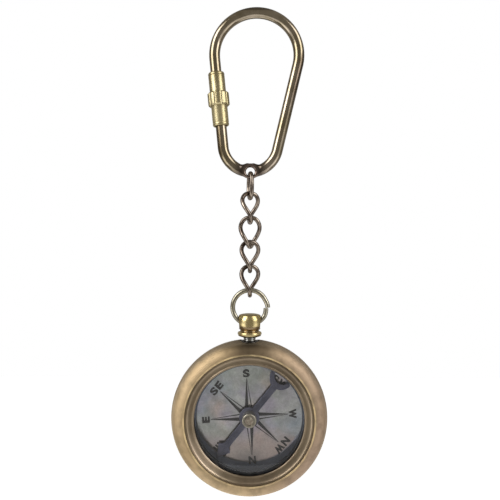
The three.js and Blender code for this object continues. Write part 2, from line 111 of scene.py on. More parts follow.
def white_when_seen(tree, lamp):
    """A strength of white for the camera, mirrors and glass, and of `lamp` for all else."""
    path = add_node(tree, "ShaderNodeLightPath")
    seen = path.outputs["Is Camera Ray"]
    for view in ("Is Glossy Ray", "Is Transmission Ray"):
        seen = maths(tree, "MAXIMUM", seen, path.outputs[view])
    levels = {"Value": seen, "To Min": lamp, "To Max": WHITE}
    return add_node(tree, "ShaderNodeMapRange", levels).outputs["Result"]


world = bpy.data.worlds.new("white_room")
bpy.context.scene.world = world
world.use_nodes = True
sky = world.node_tree.nodes["Background"]
sky.inputs["Color"].default_value = (1, 1, 1, 1)
strength = white_when_seen(world.node_tree, WORLD_AS_LAMP)
world.node_tree.links.new(strength, sky.inputs["Strength"])
print("world:", world.name)

# %% Floor
FLOOR_SIZE, FLOOR_DROP, FLOOR_GREY = 6, 0.75, 0.9
MATT = 0.9


def matt_paint(name, grey):
    """A plain dull grey for what stands round the object."""
    paint = bpy.data.materials.new(name)
    paint.use_nodes = True
    shader = paint.node_tree.nodes["Principled BSDF"]
    shader.inputs["Base Color"].default_value = (grey, grey, grey, 1)
    shader.inputs["Roughness"].default_value = MATT
    return paint


bpy.ops.mesh.primitive_plane_add(size=FLOOR_SIZE, location=(0, 0, -FLOOR_DROP))
floor = bpy.context.object
floor.name = "floor"
pale = matt_paint("pale_floor", FLOOR_GREY)
tree = pale.node_tree
glow = add_node(tree, "ShaderNodeEmission", {"Strength": white_when_seen(tree, 0.0)})
paint = tree.nodes["Principled BSDF"].outputs[0]
both = add_node(tree, "ShaderNodeAddShader", {0: paint, 1: glow.outputs[0]})
tree.links.new(both.outputs[0], tree.nodes["Material Output"].inputs["Surface"])
floor.data.materials.append(pale)
print("floor:", FLOOR_DROP, "m down")

# %% Dark cards
OBJECT_MIDDLE = Vector((0, 0, -0.062))
CARD_GREY, CARD_GLOW, CARD_WARMTH = 0.05, 0.28, (1, 0.95, 0.86, 1)
CARD_HEIGHT = 1.1
CARDS = (  # name, azimuth, elevation, distance, width
    ("card_front", 0, 0, 0.5, 0.78),
    ("card_right", 106, 0, 0.5, 0.72),
    ("card_left", -106, 0, 0.5, 0.72),
    ("card_back", 180, 0, 0.5, 0.7),
    ("card_top", 0, 88, 0.55, 1.1),
)


def face_object(thing, azimuth, elevation, distance):
    """Stands a card or a lamp off from the object, turned towards it."""
    a, e = math.radians(azimuth), math.radians(elevation)
    towards = Vector((math.sin(a) * math.cos(e), -math.cos(a) * math.cos(e), math.sin(e)))
    thing.location = OBJECT_MIDDLE + towards * distance
    thing.rotation_euler = towards.to_track_quat("Z", "Y").to_euler()


dark_card = matt_paint("dark_card", CARD_GREY)
shader = dark_card.node_tree.nodes["Principled BSDF"]
shader.inputs["Emission Color"].default_value = CARD_WARMTH
shader.inputs["Emission Strength"].default_value = CARD_GLOW
for name, azimuth, elevation, distance, width in CARDS:
    bpy.ops.mesh.primitive_plane_add(size=1)
    card = bpy.context.object
    card.name = name
    face_object(card, azimuth, elevation, distance)
    card.scale = (width, CARD_HEIGHT, 1)
    card.data.materials.append(dark_card)
    card.visible_camera = card.visible_diffuse = False
    card.visible_transmission = card.visible_shadow = False
print("cards:", len(CARDS))

# %% Soft boxes and key
LAMPS = (  # name, azimuth, elevation, distance, width, height, power
    ("box_left", -57, 32, 0.42, 0.25, 0.32, 1.05),
    ("box_right", 58, 32, 0.42, 0.22, 0.32, 0.7),
    ("box_low_left", -66, -20, 0.42, 0.24, 0.16, 0.16),
    ("box_low_right", 66, -20, 0.42, 0.22, 0.16, 0.07),
    ("key_below", -4, -37, 0.5, 0.07, 0.05, 2.7),
)
for name, azimuth, elevation, distance, width, height, power in LAMPS:
    bpy.ops.object.light_add(type="AREA")
    lamp = bpy.context.object
    lamp.name = name
    lamp.data.shape = "RECTANGLE"
    lamp.data.size, lamp.data.size_y = width, height
    lamp.data.energy = power
    lamp.visible_camera = False
    lamp.visible_diffuse = name == "key_below"
    lamp.visible_glossy = name != "key_below"
    face_object(lamp, azimuth, elevation, distance)
print("lamps:", len(LAMPS))

# %% [markdown]
# ## Turning on a lathe
# The case, the bezel, the glass, the crown and most small pieces are turned parts. In Blender
# the lathe is the Spin tool: half of the section is traced as a chain of vertices and spun once
# round its axis. A traced line gives full control of each groove and lip, which stacking
# cylinders wouldn't. Afterwards the sharp rims are bevelled, because no real rim is a knife edge
# and it is the small rounding that catches the light.


# %% Mesh helpers
SAME_POINT = 0.001 * MM  # points closer than this are one point


def start_afresh():
    """Leaves edit mode and lets go of everything, since a tool acts on all that is selected."""
    if bpy.context.object and bpy.context.object.mode != "OBJECT":
        bpy.ops.object.mode_set(mode="OBJECT")
    bpy.ops.object.select_all(action="DESELECT")


def newest(name):
    """The object that was just added, with a name of its own."""
    piece = bpy.context.object
    piece.name = piece.data.name = name
    return piece


def pick(piece):
    start_afresh()
    piece.select_set(True)
    bpy.context.view_layer.objects.active = piece


def open_mesh(piece):
    """Opens a piece in edit mode with all of its mesh selected."""
    pick(piece)
    bpy.ops.object.mode_set(mode="EDIT")
    bpy.ops.mesh.select_all(action="SELECT")


def close_mesh():
    bpy.ops.object.mode_set(mode="OBJECT")


def merge_doubles():
    """Selects all of the open mesh and makes points that lie on one another into one."""
    bpy.ops.mesh.select_all(action="SELECT")
    bpy.ops.mesh.remove_doubles(threshold=SAME_POINT)


def face_outwards():
    """Turns every face of the open mesh outwards."""
    bpy.ops.mesh.select_all(action="SELECT")
    bpy.ops.mesh.normals_make_consistent(inside=False)


def soften(size, angle=32, segments=3):
    """Bevels every edge of the open mesh that is sharper than the angle."""
    bpy.ops.mesh.select_mode(type="EDGE")
    bpy.ops.mesh.select_all(action="DESELECT")
    bpy.ops.mesh.edges_select_sharp(sharpness=math.radians(angle))
    bpy.ops.mesh.bevel(offset=size * MM, segments=segments, affect="EDGES", clamp_overlap=True)
    bpy.ops.mesh.select_mode(type="VERT")


# %% Shaping helpers
def arc(centre, size, start, end, steps):
    """Points on a circle, or on an ellipse where the size is a pair, as (radius, height) pairs
    from one angle to another in degrees."""
    across, up = size if isinstance(size, tuple) else (size, size)
    angles = [math.radians(start + (end - start) * i / steps) for i in range(steps + 1)]
    return [(centre[0] + across * math.cos(a), centre[1] + up * math.sin(a)) for a in angles]


def turned(name, outline, sides=128, edge=0.0, ring=False):
    """Traces an outline of (radius, height) pairs, closed for a ring, and spins it round Z."""
    start_afresh()
    bpy.ops.mesh.primitive_plane_add(size=MM)
    piece = newest(name)
    open_mesh(piece)
    bpy.ops.mesh.merge(type="CENTER")
    points = [Vector((r, 0, h)) * MM for r, h in outline]
    if ring:
        points.append(points[0])
    bpy.ops.transform.translate(value=points[0])
    for here, there in zip(points, points[1:]):
        bpy.ops.mesh.extrude_vertices_move(TRANSFORM_OT_translate={"value": there - here})
    merge_doubles()
    bpy.ops.mesh.spin(steps=sides, angle=2 * math.pi, center=(0, 0, 0), axis=(0, 0, 1))
    merge_doubles()
    face_outwards()
    if edge:
        soften(edge)
    close_mesh()
    return piece


# %% Placing and dressing helpers
def settle(piece, place):
    """Puts a piece in its place and bakes the place into its mesh, as a CAD node has it."""
    pick(piece)
    piece.matrix_world = place
    bpy.ops.object.transform_apply(location=True, rotation=True, scale=True)


def carve(piece, *cutters):
    """Cuts pieces away with Boolean modifiers, and removes the cutters."""
    for cutter in cutters:
        pick(piece)
        modifier = piece.modifiers.new("cut", "BOOLEAN")
        modifier.operation = "DIFFERENCE"
        modifier.solver = "EXACT"
        modifier.object = cutter
        bpy.ops.object.modifier_apply(modifier=modifier.name)
        bpy.data.objects.remove(cutter)


def dress(piece, finish, body, node=None, crease=35):
    """Cleans and smooths a finished piece, gives it its finish and its body, and compares it with
    its solid. Bevels and cuts can leave doubled points, so those are merged first."""
    open_mesh(piece)
    merge_doubles()
    close_mesh()
    bpy.ops.object.shade_smooth_by_angle(angle=math.radians(crease))
    piece.data.materials.clear()
    piece.data.materials.append(finish)
    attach(piece, body)
    made = f"{piece.name}: {len(piece.data.polygons)} faces"
    if node:
        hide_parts(node)
        low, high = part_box(node)
        places = [v.co for v in piece.data.vertices]
        past = max(max(low[i] - c[i], c[i] - high[i]) for c in places for i in range(3))
        made += f", {past / MM:+.3f} mm past its solid"
    print(made)


# %% [markdown]
# ## Old brass
# Most of the metal is brass that has been darkened and then rubbed bright again, so its colour
# comes from two tones, a dark film and the bare metal, mixed by a soft noise. A second, much finer
# noise goes into the roughness and the bump and breaks up the reflections without a visible
# pattern. On turned pieces it runs in lines round their axis. One function makes these finishes,
# and each of them only says its colours and its axis. A finish may also have spots that multiply
# its tone round a place. Most are painted shade, on a side or an underside that should look darker,
# or painted highlights on a place that should shine. Round the eye the dark spot is partly the
# dark film that no hand rubs off.


# %% Node helpers
def new_finish(name):
    finish = bpy.data.materials.new(name)
    finish.use_nodes = True
    tree = finish.node_tree
    return finish, tree, tree.nodes["Principled BSDF"]


def own_coordinates(tree):
    return add_node(tree, "ShaderNodeTexCoord").outputs["Object"]


def ramp(tree, source, *stops):
    """A colour ramp: each stop is a position and a grey level or a colour."""
    made = add_node(tree, "ShaderNodeValToRGB", {"Fac": source})
    steps = made.color_ramp.elements
    while len(steps) < len(stops):
        steps.new(0.5)
    for step, (position, tone) in zip(steps, stops):
        step.position = position
        step.color = (*tone, 1) if isinstance(tone, tuple) else (tone, tone, tone, 1)
    return made.outputs["Color"]


def mixed(tree, share, *tones, blend="MIX"):
    """Mixes two tones, each a plain colour or the output of a node."""
    first, second = [(*tone, 1) if isinstance(tone, tuple) else tone for tone in tones]
    inputs = {0: share, 6: first, 7: second}  # a Mix node's factor and its two colours
    return add_node(tree, "ShaderNodeMix", inputs, data_type="RGBA", blend_type=blend).outputs[2]


def tinted(tree, tone, tint):
    return mixed(tree, 1.0, tone, tint, blend="MULTIPLY")


def vectors(tree, operation, *values):
    """Reckons with vectors. A length, a distance and a dot product come out as a number."""
    made = add_node(tree, "ShaderNodeVectorMath", dict(enumerate(values)), operation=operation)
    number = operation in ("LENGTH", "DISTANCE", "DOT_PRODUCT")
    return made.outputs["Value" if number else "Vector"]


def between(tree, value, start, end, most):
    """Rises smoothly from 0 to `most` while a value goes from a start to an end."""
    inputs = {"Value": value, "From Min": start, "From Max": end, "To Max": most}
    made = add_node(tree, "ShaderNodeMapRange", inputs, interpolation_type="SMOOTHSTEP")
    return made.outputs["Result"]


def noise(tree, vector, scale, detail=3.0, roughness=0.55):
    inputs = {"Vector": vector, "Scale": scale, "Detail": detail, "Roughness": roughness}
    return add_node(tree, "ShaderNodeTexNoise", inputs).outputs["Fac"]


def roughen(tree, shader, grain, low, high, bump, depth=0.03):
    """Lets a fine grain run the roughness from low to high, and raises it as a bump."""
    dull = maths(tree, "MULTIPLY_ADD", grain, high - low, low)
    tree.links.new(dull, shader.inputs["Roughness"])
    inputs = {"Height": grain, "Strength": bump, "Distance": depth * MM}
    raised = add_node(tree, "ShaderNodeBump", inputs).outputs[0]
    tree.links.new(raised, shader.inputs["Normal"])


# %% Turned lines and spots
SWING_SIZE, SWING = 90, 0.0006
SIDE_START, SIDE_FULL = 0.1, 0.5


def round_axis(tree, centre, axis):
    """Coordinates for lines that run round an axis: distance from it, height along it, and a
    slow swing, so that the lines aren't quite even."""
    coordinates = own_coordinates(tree)
    shifted = vectors(tree, "SUBTRACT", coordinates, centre)
    height = vectors(tree, "DOT_PRODUCT", shifted, axis)
    along = vectors(tree, "MULTIPLY", axis, height)
    radius = vectors(tree, "LENGTH", vectors(tree, "SUBTRACT", shifted, along))
    swing = maths(tree, "MULTIPLY", noise(tree, coordinates, SWING_SIZE, detail=1), SWING)
    lines = add_node(tree, "ShaderNodeCombineXYZ", {"X": radius, "Y": height, "Z": swing})
    return coordinates, radius, height, lines.outputs[0]


def film_or_painted_light(tree, coordinates, tone, place, near, far, tint, level=False, side=None):
    """Multiplies a tone by a tint round a place, all along its level, or on one side of it only.
    A low tint paints shade or a dark film, and a high one paints a highlight."""
    away = vectors(tree, "SUBTRACT", coordinates, place)
    counted = vectors(tree, "MULTIPLY", away, (0, 0, 1) if level else (1, 1, 1))
    share = between(tree, vectors(tree, "LENGTH", counted), far * MM, near * MM, 1.0)
    if side:
        out = vectors(tree, "DOT_PRODUCT", away, side)
        outer = between(tree, out, SIDE_START * MM, SIDE_FULL * MM, 1.0)
        share = maths(tree, "MULTIPLY", share, outer)
    tint = tint if isinstance(tint, tuple) else (tint, tint, tint)
    return tinted(tree, tone, mixed(tree, share, (1, 1, 1), tint))


# %% Rubbed metal
SPECKS_PER_PATCH = 9


def rubbed_metal(
    name, film, bare, shine, wear=(0.38, 0.66), patch=160, grain=2600, bump=0.12, axis=None, spots=()
):
    """Metal in two tones. With a centre and an axis its lines run round, else they are even."""
    finish, tree, shader = new_finish(name)
    if axis:
        coordinates, _, _, lines = round_axis(tree, *axis)
    else:
        coordinates = lines = own_coordinates(tree)
    cloud = noise(tree, coordinates, patch, detail=5, roughness=0.6)
    tone = mixed(tree, ramp(tree, cloud, (wear[0], 0.0), (wear[1], 1.0)), film, bare)
    specks = noise(tree, coordinates, patch * SPECKS_PER_PATCH)
    tone = tinted(tree, tone, ramp(tree, specks, (0.3, 0.93), (0.62, 1.0)))
    for spot in spots:
        tone = film_or_painted_light(tree, coordinates, tone, **spot)
    tree.links.new(tone, shader.inputs["Base Color"])
    shader.inputs["Metallic"].default_value = 1.0
    scratches = noise(tree, lines, grain, detail=4, roughness=0.65)
    roughen(tree, shader, scratches, *shine, bump)
    return finish


# %% [markdown]
# ## The carabiner
# It is one bent wire with a gap in its left limb. By hand it would be drawn just so: a circle
# the size of the wire, spun round the wide bend, extruded along the straight limb, spun round the
# narrow bend and extruded up to the gap. That gives true round bends and straight limbs, which a
# free curve only comes close to. The end above the gap gets a screw thread that shows when the
# sleeve is down. The bottom is pressed flat and pierced for the first link, and the metal that
# was pressed aside stands as a thin wall below the hole and a broad brow above it.

# %% Lines of the loop
WIRE = 1.4  # half of its thickness
WIDE, NARROW, SPACING = 10.82, 7.05, 22.95
LEAN = math.radians(3.8)
GATE_START, GATE_LENGTH = 5.0, 3.4
TAPER = math.asin((WIDE - NARROW) / SPACING)
LIMB = math.sqrt(SPACING**2 - (WIDE - NARROW) ** 2)
wide_x = SPACING * math.sin(LEAN)
wide_z = -math.sqrt((WIDE - WIRE) ** 2 - wide_x**2)
PEAR = Matrix.Translation(Vector((wide_x, 0, wide_z)) * MM) @ Matrix.Rotation(LEAN, 4, "Y")

down_left = Vector((math.sin(TAPER), 0, -math.cos(TAPER)))
down_right = Vector((-math.sin(TAPER), 0, -math.cos(TAPER)))
left_side = Vector((-math.cos(TAPER), 0, -math.sin(TAPER)))
right_side = Vector((math.cos(TAPER), 0, -math.sin(TAPER)))
upper_end = left_side * WIDE + down_left * GATE_START
lower_end = left_side * WIDE + down_left * (GATE_START + GATE_LENGTH)
narrow_centre = Vector((0, 0, -SPACING))
print("straight limbs:", round(LIMB, 2), "mm long")

# %% Bent wire
WIRE_SIDES, END_ROUND = 36, 0.3
MOST_SIDES = 40  # an open end has fewer edges than this
THREAD_LENGTH, THREAD_RINGS = 1.7, 40
WIDE_STEPS, LIMB_STEPS, NARROW_STEPS, END_STEPS = 96, 12, 110, 8


def fill_ends():
    """Closes the open ends of the open mesh."""
    bpy.ops.mesh.select_all(action="SELECT")
    bpy.ops.mesh.fill_holes(sides=MOST_SIDES)
    face_outwards()


def extrude(path, steps):
    """Draws the selected circle out along a straight path."""
    for _ in range(steps):
        bpy.ops.mesh.extrude_region_move(TRANSFORM_OT_translate={"value": path * (MM / steps)})


def bend(centre, angle, steps):
    """Spins the selected circle round a bend of the wire."""
    bpy.ops.mesh.spin(
        steps=steps, angle=-angle, center=centre * MM, axis=(0, 1, 0), use_auto_merge=False
    )


start_afresh()
bpy.ops.mesh.primitive_circle_add(
    vertices=WIRE_SIDES, radius=WIRE * MM, location=upper_end * MM, rotation=(0, -TAPER, 0)
)
carabiner = newest("carabiner_wire")
bpy.ops.object.transform_apply(location=True, rotation=True, scale=True)
open_mesh(carabiner)
extrude(-down_left * THREAD_LENGTH, THREAD_RINGS)
extrude(-down_left * (GATE_START - THREAD_LENGTH), 1)
bend(Vector(), math.pi + 2 * TAPER, WIDE_STEPS)
extrude(down_right * LIMB, LIMB_STEPS)
bend(narrow_centre, math.pi - 2 * TAPER, NARROW_STEPS)
extrude(lower_end - (narrow_centre + left_side * NARROW), END_STEPS)
fill_ends()
soften(END_ROUND, angle=60)
close_mesh()
print("wire:", len(carabiner.data.vertices), "points")

# %% Screw thread above the gap
THREAD_PITCH, THREAD_DEPTH = 0.5, 0.11
THREAD_START, RUN_OUT, THREAD_FADE = 0.32, 0.1, 0.4
THREAD_STOP = THREAD_LENGTH - RUN_OUT
sideways = Vector((-down_left.z, 0, down_left.x))
for vertex in carabiner.data.vertices:
    offset = vertex.co / MM - upper_end
    height = -offset.dot(down_left)
    spread = Vector((offset.dot(sideways), offset.y))
    if not THREAD_START < height < THREAD_STOP or spread.length > 2 * WIRE:
        continue
    phase = (height / THREAD_PITCH + math.atan2(spread.y, spread.x) / (2 * math.pi)) % 1
    fade = min(1.0, (THREAD_STOP - height) / THREAD_FADE)
    inwards = THREAD_DEPTH * fade * (0.5 + 0.5 * math.cos(2 * math.pi * phase))
    spread *= 1 - inwards / WIRE
    threaded = upper_end - down_left * height + sideways * spread.x
    vertex.co = (threaded + Vector((0, spread.y, 0))) * MM
settle(carabiner, PEAR)
print("thread:", round((THREAD_STOP - THREAD_START) / THREAD_PITCH, 1), "turns")

# %% Pressed eye
EYE_HOLE, EYE_ROUNDING, EYE_HALF = 1.15, 0.5, 0.8
WALL_ABOVE, WALL_BELOW = 1.0, 0.62
BROW_FLAT, BROW_END = 1.0, 3.1
SCOOP, SCOOP_END, EYE_ZONE = 8.0, 4.0, 4.2
SQUARENESS, BLEND = 0.45, 6


def smooth(t):
    """Rises from 0 to 1 with level ends."""
    t = min(1.0, max(0.0, t))
    return t * t * (3 - 2 * t)


narrow_place = PEAR @ (narrow_centre * MM)
for vertex in carabiner.data.vertices:
    arm = (vertex.co - narrow_place) / MM
    along = NARROW * math.atan2(arm.x, -arm.z)
    if abs(along) > EYE_ZONE or arm.z > 0:
        continue
    spread = math.hypot(arm.x, arm.z) - NARROW
    dip = math.sqrt(SCOOP**2 - min(abs(along), SCOOP_END) ** 2)
    limit = min(WIRE, EYE_HALF + SCOOP - dip)
    flat = 1 - (limit - EYE_HALF) / (WIRE - EYE_HALF)
    deep = limit * (abs(arm.y) / WIRE) ** (1 - SQUARENESS * flat)
    if spread > 0:
        ring = EYE_HOLE + WALL_BELOW
        boss = math.sqrt(max(0.0, ring**2 - along**2))
        half = min(ring, (boss**BLEND + WIRE**BLEND) ** (1 / BLEND))
    else:
        brow = EYE_HOLE + WALL_ABOVE
        fall = smooth((abs(along) - BROW_FLAT) / (BROW_END - BROW_FLAT))
        half = brow - (brow - WIRE) * fall
    reach = NARROW + spread * half / WIRE
    turn = along / NARROW
    vertex.co = narrow_place + MM * Vector(
        (reach * math.sin(turn), math.copysign(deep, arm.y), -reach * math.cos(turn))
    )
print("eye pressed to", 2 * EYE_HALF, "mm")

# %% Pierced eye
EYE_PLACE = Vector((0, 0, -39.246)) * MM
CUTTER = 2  # half of its length
straight = EYE_HALF - EYE_ROUNDING
mouth = EYE_HOLE + EYE_ROUNDING
hole = turned(
    "eye_cutter",
    [(0, -CUTTER), (mouth, -CUTTER)]
    + arc((mouth, -straight), EYE_ROUNDING, 270, 180, 8)
    + arc((mouth, straight), EYE_ROUNDING, 180, 90, 8)
    + [(mouth, CUTTER), (0, CUTTER)],
    sides=64,
)
settle(hole, Matrix.Translation(EYE_PLACE) @ Matrix.Rotation(QUARTER_TURN, 4, "X"))
carve(carabiner, hole)
print("eye at", [round(c / MM, 2) for c in EYE_PLACE])

# %% Dark wire
TOP_BEND, FOOT_DEPTH = Vector((2.5, 0, 1.43)) * MM, 20
LEFT_FOOT = PEAR @ ((left_side * WIDE + down_left * FOOT_DEPTH) * MM)
RIGHT_SHOULDER = PEAR @ (right_side * WIDE * MM)
leaned = PEAR.to_3x3()
dark_wire = rubbed_metal(
    "dark_wire",
    film=(0.26, 0.215, 0.135),
    bare=(0.45, 0.38, 0.30),
    shine=(0.13, 0.17),
    patch=120,
    grain=1200,
    bump=0.006,
    spots=[
        # Round the eye: partly dark film that no hand rubs off, partly painted shade that dims the
        # glints beside it.
        dict(place=EYE_PLACE, near=2.6, far=5.0, tint=(0.27, 0.25, 0.27)),
        # Painted highlight on the face of the eye's boss.
        dict(place=EYE_PLACE, near=1.8, far=2.5, tint=(2.3, 2.25, 2.4)),
        # Painted shade on the upper side of the top bend.
        dict(place=TOP_BEND, near=4, far=13, tint=(0.5, 0.49, 0.5), side=(0, 0, 1)),
        # Painted shade on the outer side of the lower left limb.
        dict(place=LEFT_FOOT, near=4, far=9, tint=(0.5, 0.46, 0.38), side=leaned @ left_side),
        # Painted shade on the outer side of the right limb, which dims its outer streak.
        dict(place=RIGHT_SHOULDER, near=5, far=18, tint=(0.36, 0.33, 0.32), side=leaned @ right_side),
    ],
)
dress(carabiner, dark_wire, "carabiner", "carabiner_loop", crease=40)

# %% [markdown]
# ## Bare brass and the lock sleeve
# The sleeve is the one piece that fingers rub all the time, so it is bright yellow. It is a
# tube with a grooved collar in the middle. The tube is turned with the lathe, and the collar's
# flutes are then pressed in: each vertex that lies in one of ten round grooves is moved inwards
# to the groove's floor.

# %% Turned sleeve
SLEEVE_START, SLEEVE_HALF, SLEEVE_BORE, SLEEVE = 3.6, 6.85, 1.6, 2.08
COLLAR, COLLAR_HALF, COLLAR_SLOPE = 2.78, 1.75, 0.35
END_SLOPE, END_RISE = 0.15, 0.3
LINE_AT, LINE_HALF, LINE_FLOOR, LINE_DEPTH = 0.75 - SLEEVE_HALF, 0.12, 0.05, 0.07
lower_half = [
    (SLEEVE_BORE, -SLEEVE_HALF),
    (SLEEVE - END_SLOPE, -SLEEVE_HALF),
    (SLEEVE, -SLEEVE_HALF + END_RISE),
    (SLEEVE, LINE_AT - LINE_HALF),
    (SLEEVE - LINE_DEPTH, LINE_AT - LINE_FLOOR),
    (SLEEVE - LINE_DEPTH, LINE_AT + LINE_FLOOR),
    (SLEEVE, LINE_AT + LINE_HALF),
    (SLEEVE, -COLLAR_HALF),
    (COLLAR - COLLAR_SLOPE, -COLLAR_HALF),
    (COLLAR, -COLLAR_HALF + COLLAR_SLOPE),
]
sleeve_outline = lower_half + [(r, -h) for r, h in reversed(lower_half)]
sleeve = turned("lock_sleeve_brass", sleeve_outline, sides=200, edge=0.06, ring=True)
print("sleeve:", 2 * SLEEVE_HALF, "mm long")

# %% Flutes of the collar
FLUTES, FLUTE_RADIUS, FLUTE_DEPTH = 10, 0.5, 0.3
FLUTE_CENTRE = COLLAR - FLUTE_DEPTH + FLUTE_RADIUS
FLUTE_STEP = 2 * math.pi / FLUTES
SLACK, STEP = 0.01, 0.1  # past the collar's ends, and above the tube, to tell it from the tube
for vertex in sleeve.data.vertices:
    x, y, z = vertex.co / MM
    radius, angle = math.hypot(x, y), math.atan2(y, x)
    if abs(z) > COLLAR_HALF + SLACK or radius < SLEEVE + STEP:
        continue
    off = (angle + FLUTE_STEP / 2) % FLUTE_STEP - FLUTE_STEP / 2
    aside = FLUTE_CENTRE * math.sin(off)
    if abs(aside) < FLUTE_RADIUS:
        groove = FLUTE_CENTRE * math.cos(off) - math.sqrt(FLUTE_RADIUS**2 - aside**2)
        radius = min(radius, groove)
    vertex.co = Vector((radius * math.cos(angle), radius * math.sin(angle), z)) * MM

sleeve_middle = left_side * WIDE + down_left * (SLEEVE_START + SLEEVE_HALF)
sleeve_place = PEAR @ Matrix.Translation(sleeve_middle * MM) @ Matrix.Rotation(-TAPER, 4, "Y")
settle(sleeve, sleeve_place)
sleeve_axis = sleeve_place.to_3x3() @ Vector((0, 0, 1))
sleeve_top = sleeve_place @ Vector((0, 0, SLEEVE_HALF * MM))
raw_brass = rubbed_metal(
    "raw_brass",
    film=(0.52, 0.435, 0.235),
    bare=(0.67, 0.575, 0.34),
    shine=(0.315, 0.35),
    grain=1500,
    bump=0.004,
    axis=(sleeve_place.translation, sleeve_axis),
    # The upper half of the sleeve, with its collar, is darker.
    spots=[dict(place=sleeve_top, near=7.5, far=10.5, tint=0.72)],
)
dress(sleeve, raw_brass, "sleeve", "lock_sleeve")

# %% [markdown]
# ## Chain links
# A curb link is an oval of wire that has been twisted a little less than a quarter turn, so that
# the next link lies across it. A torus is the right start, because it is already a closed wire.
# Each of its rings is then carried to its place on the link's line, square to the wire, so that
# the wire keeps its thickness. A Twist modifier would squeeze the wire instead. The first link
# is plain and hangs in the eye.


# %% Wire along a line
def ring_along(name, line, wire, rings, sides, open_ends=False):
    """A torus whose rings follow a line, given as a function from 0 to 1. Where the line has open
    ends, its first and last rings look along their own ends and not across the gap."""
    start_afresh()
    bpy.ops.mesh.primitive_torus_add(
        major_radius=MM, minor_radius=wire * MM, major_segments=rings, minor_segments=sides
    )
    piece = newest(name)
    centres = [Vector(line(i / rings)) for i in range(rings)]
    middle = sum(centres, Vector()) / rings
    for index, vertex in enumerate(piece.data.vertices):
        ring, side = divmod(index, sides)
        before, after = ring - 1, (ring + 1) % rings
        if open_ends:
            before, after = max(ring - 1, 0), min(ring + 1, rings - 1)
        tangent = (centres[after] - centres[before]).normalized()
        across = (centres[ring] - middle).cross(tangent).normalized()
        outwards = tangent.cross(across)
        angle = 2 * math.pi * side / sides
        spoke = math.cos(angle) * outwards + math.sin(angle) * across
        vertex.co = MM * (centres[ring] + wire * spoke)
    return piece


def oval_line(top, length, width, turn, twist):
    """An oval that hangs from its top, turned about Z and twisted on its way down."""

    def blunt(share):
        return math.copysign(abs(share) ** OVAL_POWER, share)

    def line(t):
        aside = width / 2 * blunt(math.sin(2 * math.pi * t))
        depth = (1 - blunt(math.cos(2 * math.pi * t))) / 2
        angle = math.radians(turn + twist * smooth(depth))
        return aside * math.cos(angle), aside * math.sin(angle), top - length * depth

    return line


# %% Chain
LINK_WIRE, LINK_RINGS, LINK_SIDES = 0.54, 144, 28
OVAL_POWER = 0.85
PLAIN_LINK, CURB_LINK, CURB_TWIST = (6.38, 4.28), (7.51, 5.18), 80
PLAIN_TOP, CURB_TOP, CURB_PITCH = -39.6559, -44.7559, 6.23
LINK_TOPS = [PLAIN_TOP] + [CURB_TOP - CURB_PITCH * i for i in range(4)]
LINK_TURNS = [101, 20, -8, 12, 12]
chain_brown = rubbed_metal(
    "chain_brown",
    film=(0.12, 0.093, 0.077),
    bare=(0.36, 0.30, 0.243),
    shine=(0.16, 0.21),
    wear=(0.4, 0.62),
    patch=420,
    grain=1200,
    bump=0.01,
)
for i, (top, turn) in enumerate(zip(LINK_TOPS, LINK_TURNS), start=1):
    (length, width), twist = (PLAIN_LINK, 0) if i == 1 else (CURB_LINK, CURB_TWIST)
    line = oval_line(top, length, width, turn, twist)
    link = ring_along(f"link_wire_{i}", line, LINK_WIRE, LINK_RINGS, LINK_SIDES)
    open_mesh(link)
    face_outwards()
    close_mesh()
    dress(link, chain_brown, f"link_{i}", f"chain_link_{i}")

# %% [markdown]
# ## The cut ring
# The ring through the crown was sprung open to thread it and never soldered: at its right side
# its upper end stands out and its lower end tucks in. It is a torus like the links, with one
# band of faces taken out at the cut and the two ends filled and rounded.

# %% Ring with a gap
BOW_PLACE, BOW_RADIUS, BOW_WIRE = -73.9659, 4.37, 0.62
CUT_ANGLE, CUT_WIDTH = -2, 1.7
BOW_FLARE, BOW_TUCK, BOW_BEND = 0.24, 0.2, 30 / 360
BOW_RINGS, BOW_SIDES = 150, 28
LAST_RING = BOW_RINGS - 1


def bow_line(t):
    """From the end above the cut, the long way round, to the end below it."""
    t *= BOW_RINGS / LAST_RING
    angle = math.radians(CUT_ANGLE + CUT_WIDTH / 2 + t * (360 - CUT_WIDTH))
    radius = BOW_RADIUS + BOW_FLARE * (1 - smooth(t / BOW_BEND))
    radius -= BOW_TUCK * smooth((t - 1 + BOW_BEND) / BOW_BEND)
    return radius * math.cos(angle), 0, BOW_PLACE + radius * math.sin(angle)


bow = ring_along("bow_wire", bow_line, BOW_WIRE, BOW_RINGS, BOW_SIDES, open_ends=True)
print("cut:", CUT_WIDTH, "degrees wide")

# %% Ends of the ring
BOW_END_ROUND = 0.14
open_mesh(bow)
bpy.ops.mesh.select_mode(type="FACE")
bpy.ops.mesh.select_all(action="DESELECT")
close_mesh()
for polygon in bow.data.polygons:
    rings = {index // BOW_SIDES for index in polygon.vertices}
    polygon.select = rings == {0, LAST_RING}
bpy.ops.object.mode_set(mode="EDIT")
bpy.ops.mesh.delete(type="FACE")
bpy.ops.mesh.select_mode(type="VERT")
fill_ends()
soften(BOW_END_ROUND, angle=60)
close_mesh()
ring_olive = rubbed_metal(
    "ring_olive",
    film=(0.28, 0.255, 0.185),
    bare=(0.50, 0.465, 0.37),
    shine=(0.18, 0.25),
    patch=300,
    grain=1200,
    bump=0.01,
)
dress(bow, ring_olive, "bow", "bow_ring")

# %% [markdown]
# ## Crown and neck
# The crown is a turned knob with a domed head, a groove and a collar. The ring passes through a
# cross hole that opens like a trumpet at both ends, which is drilled with a Boolean after the
# turning. It stands on a bright steel neck and a dark washer.

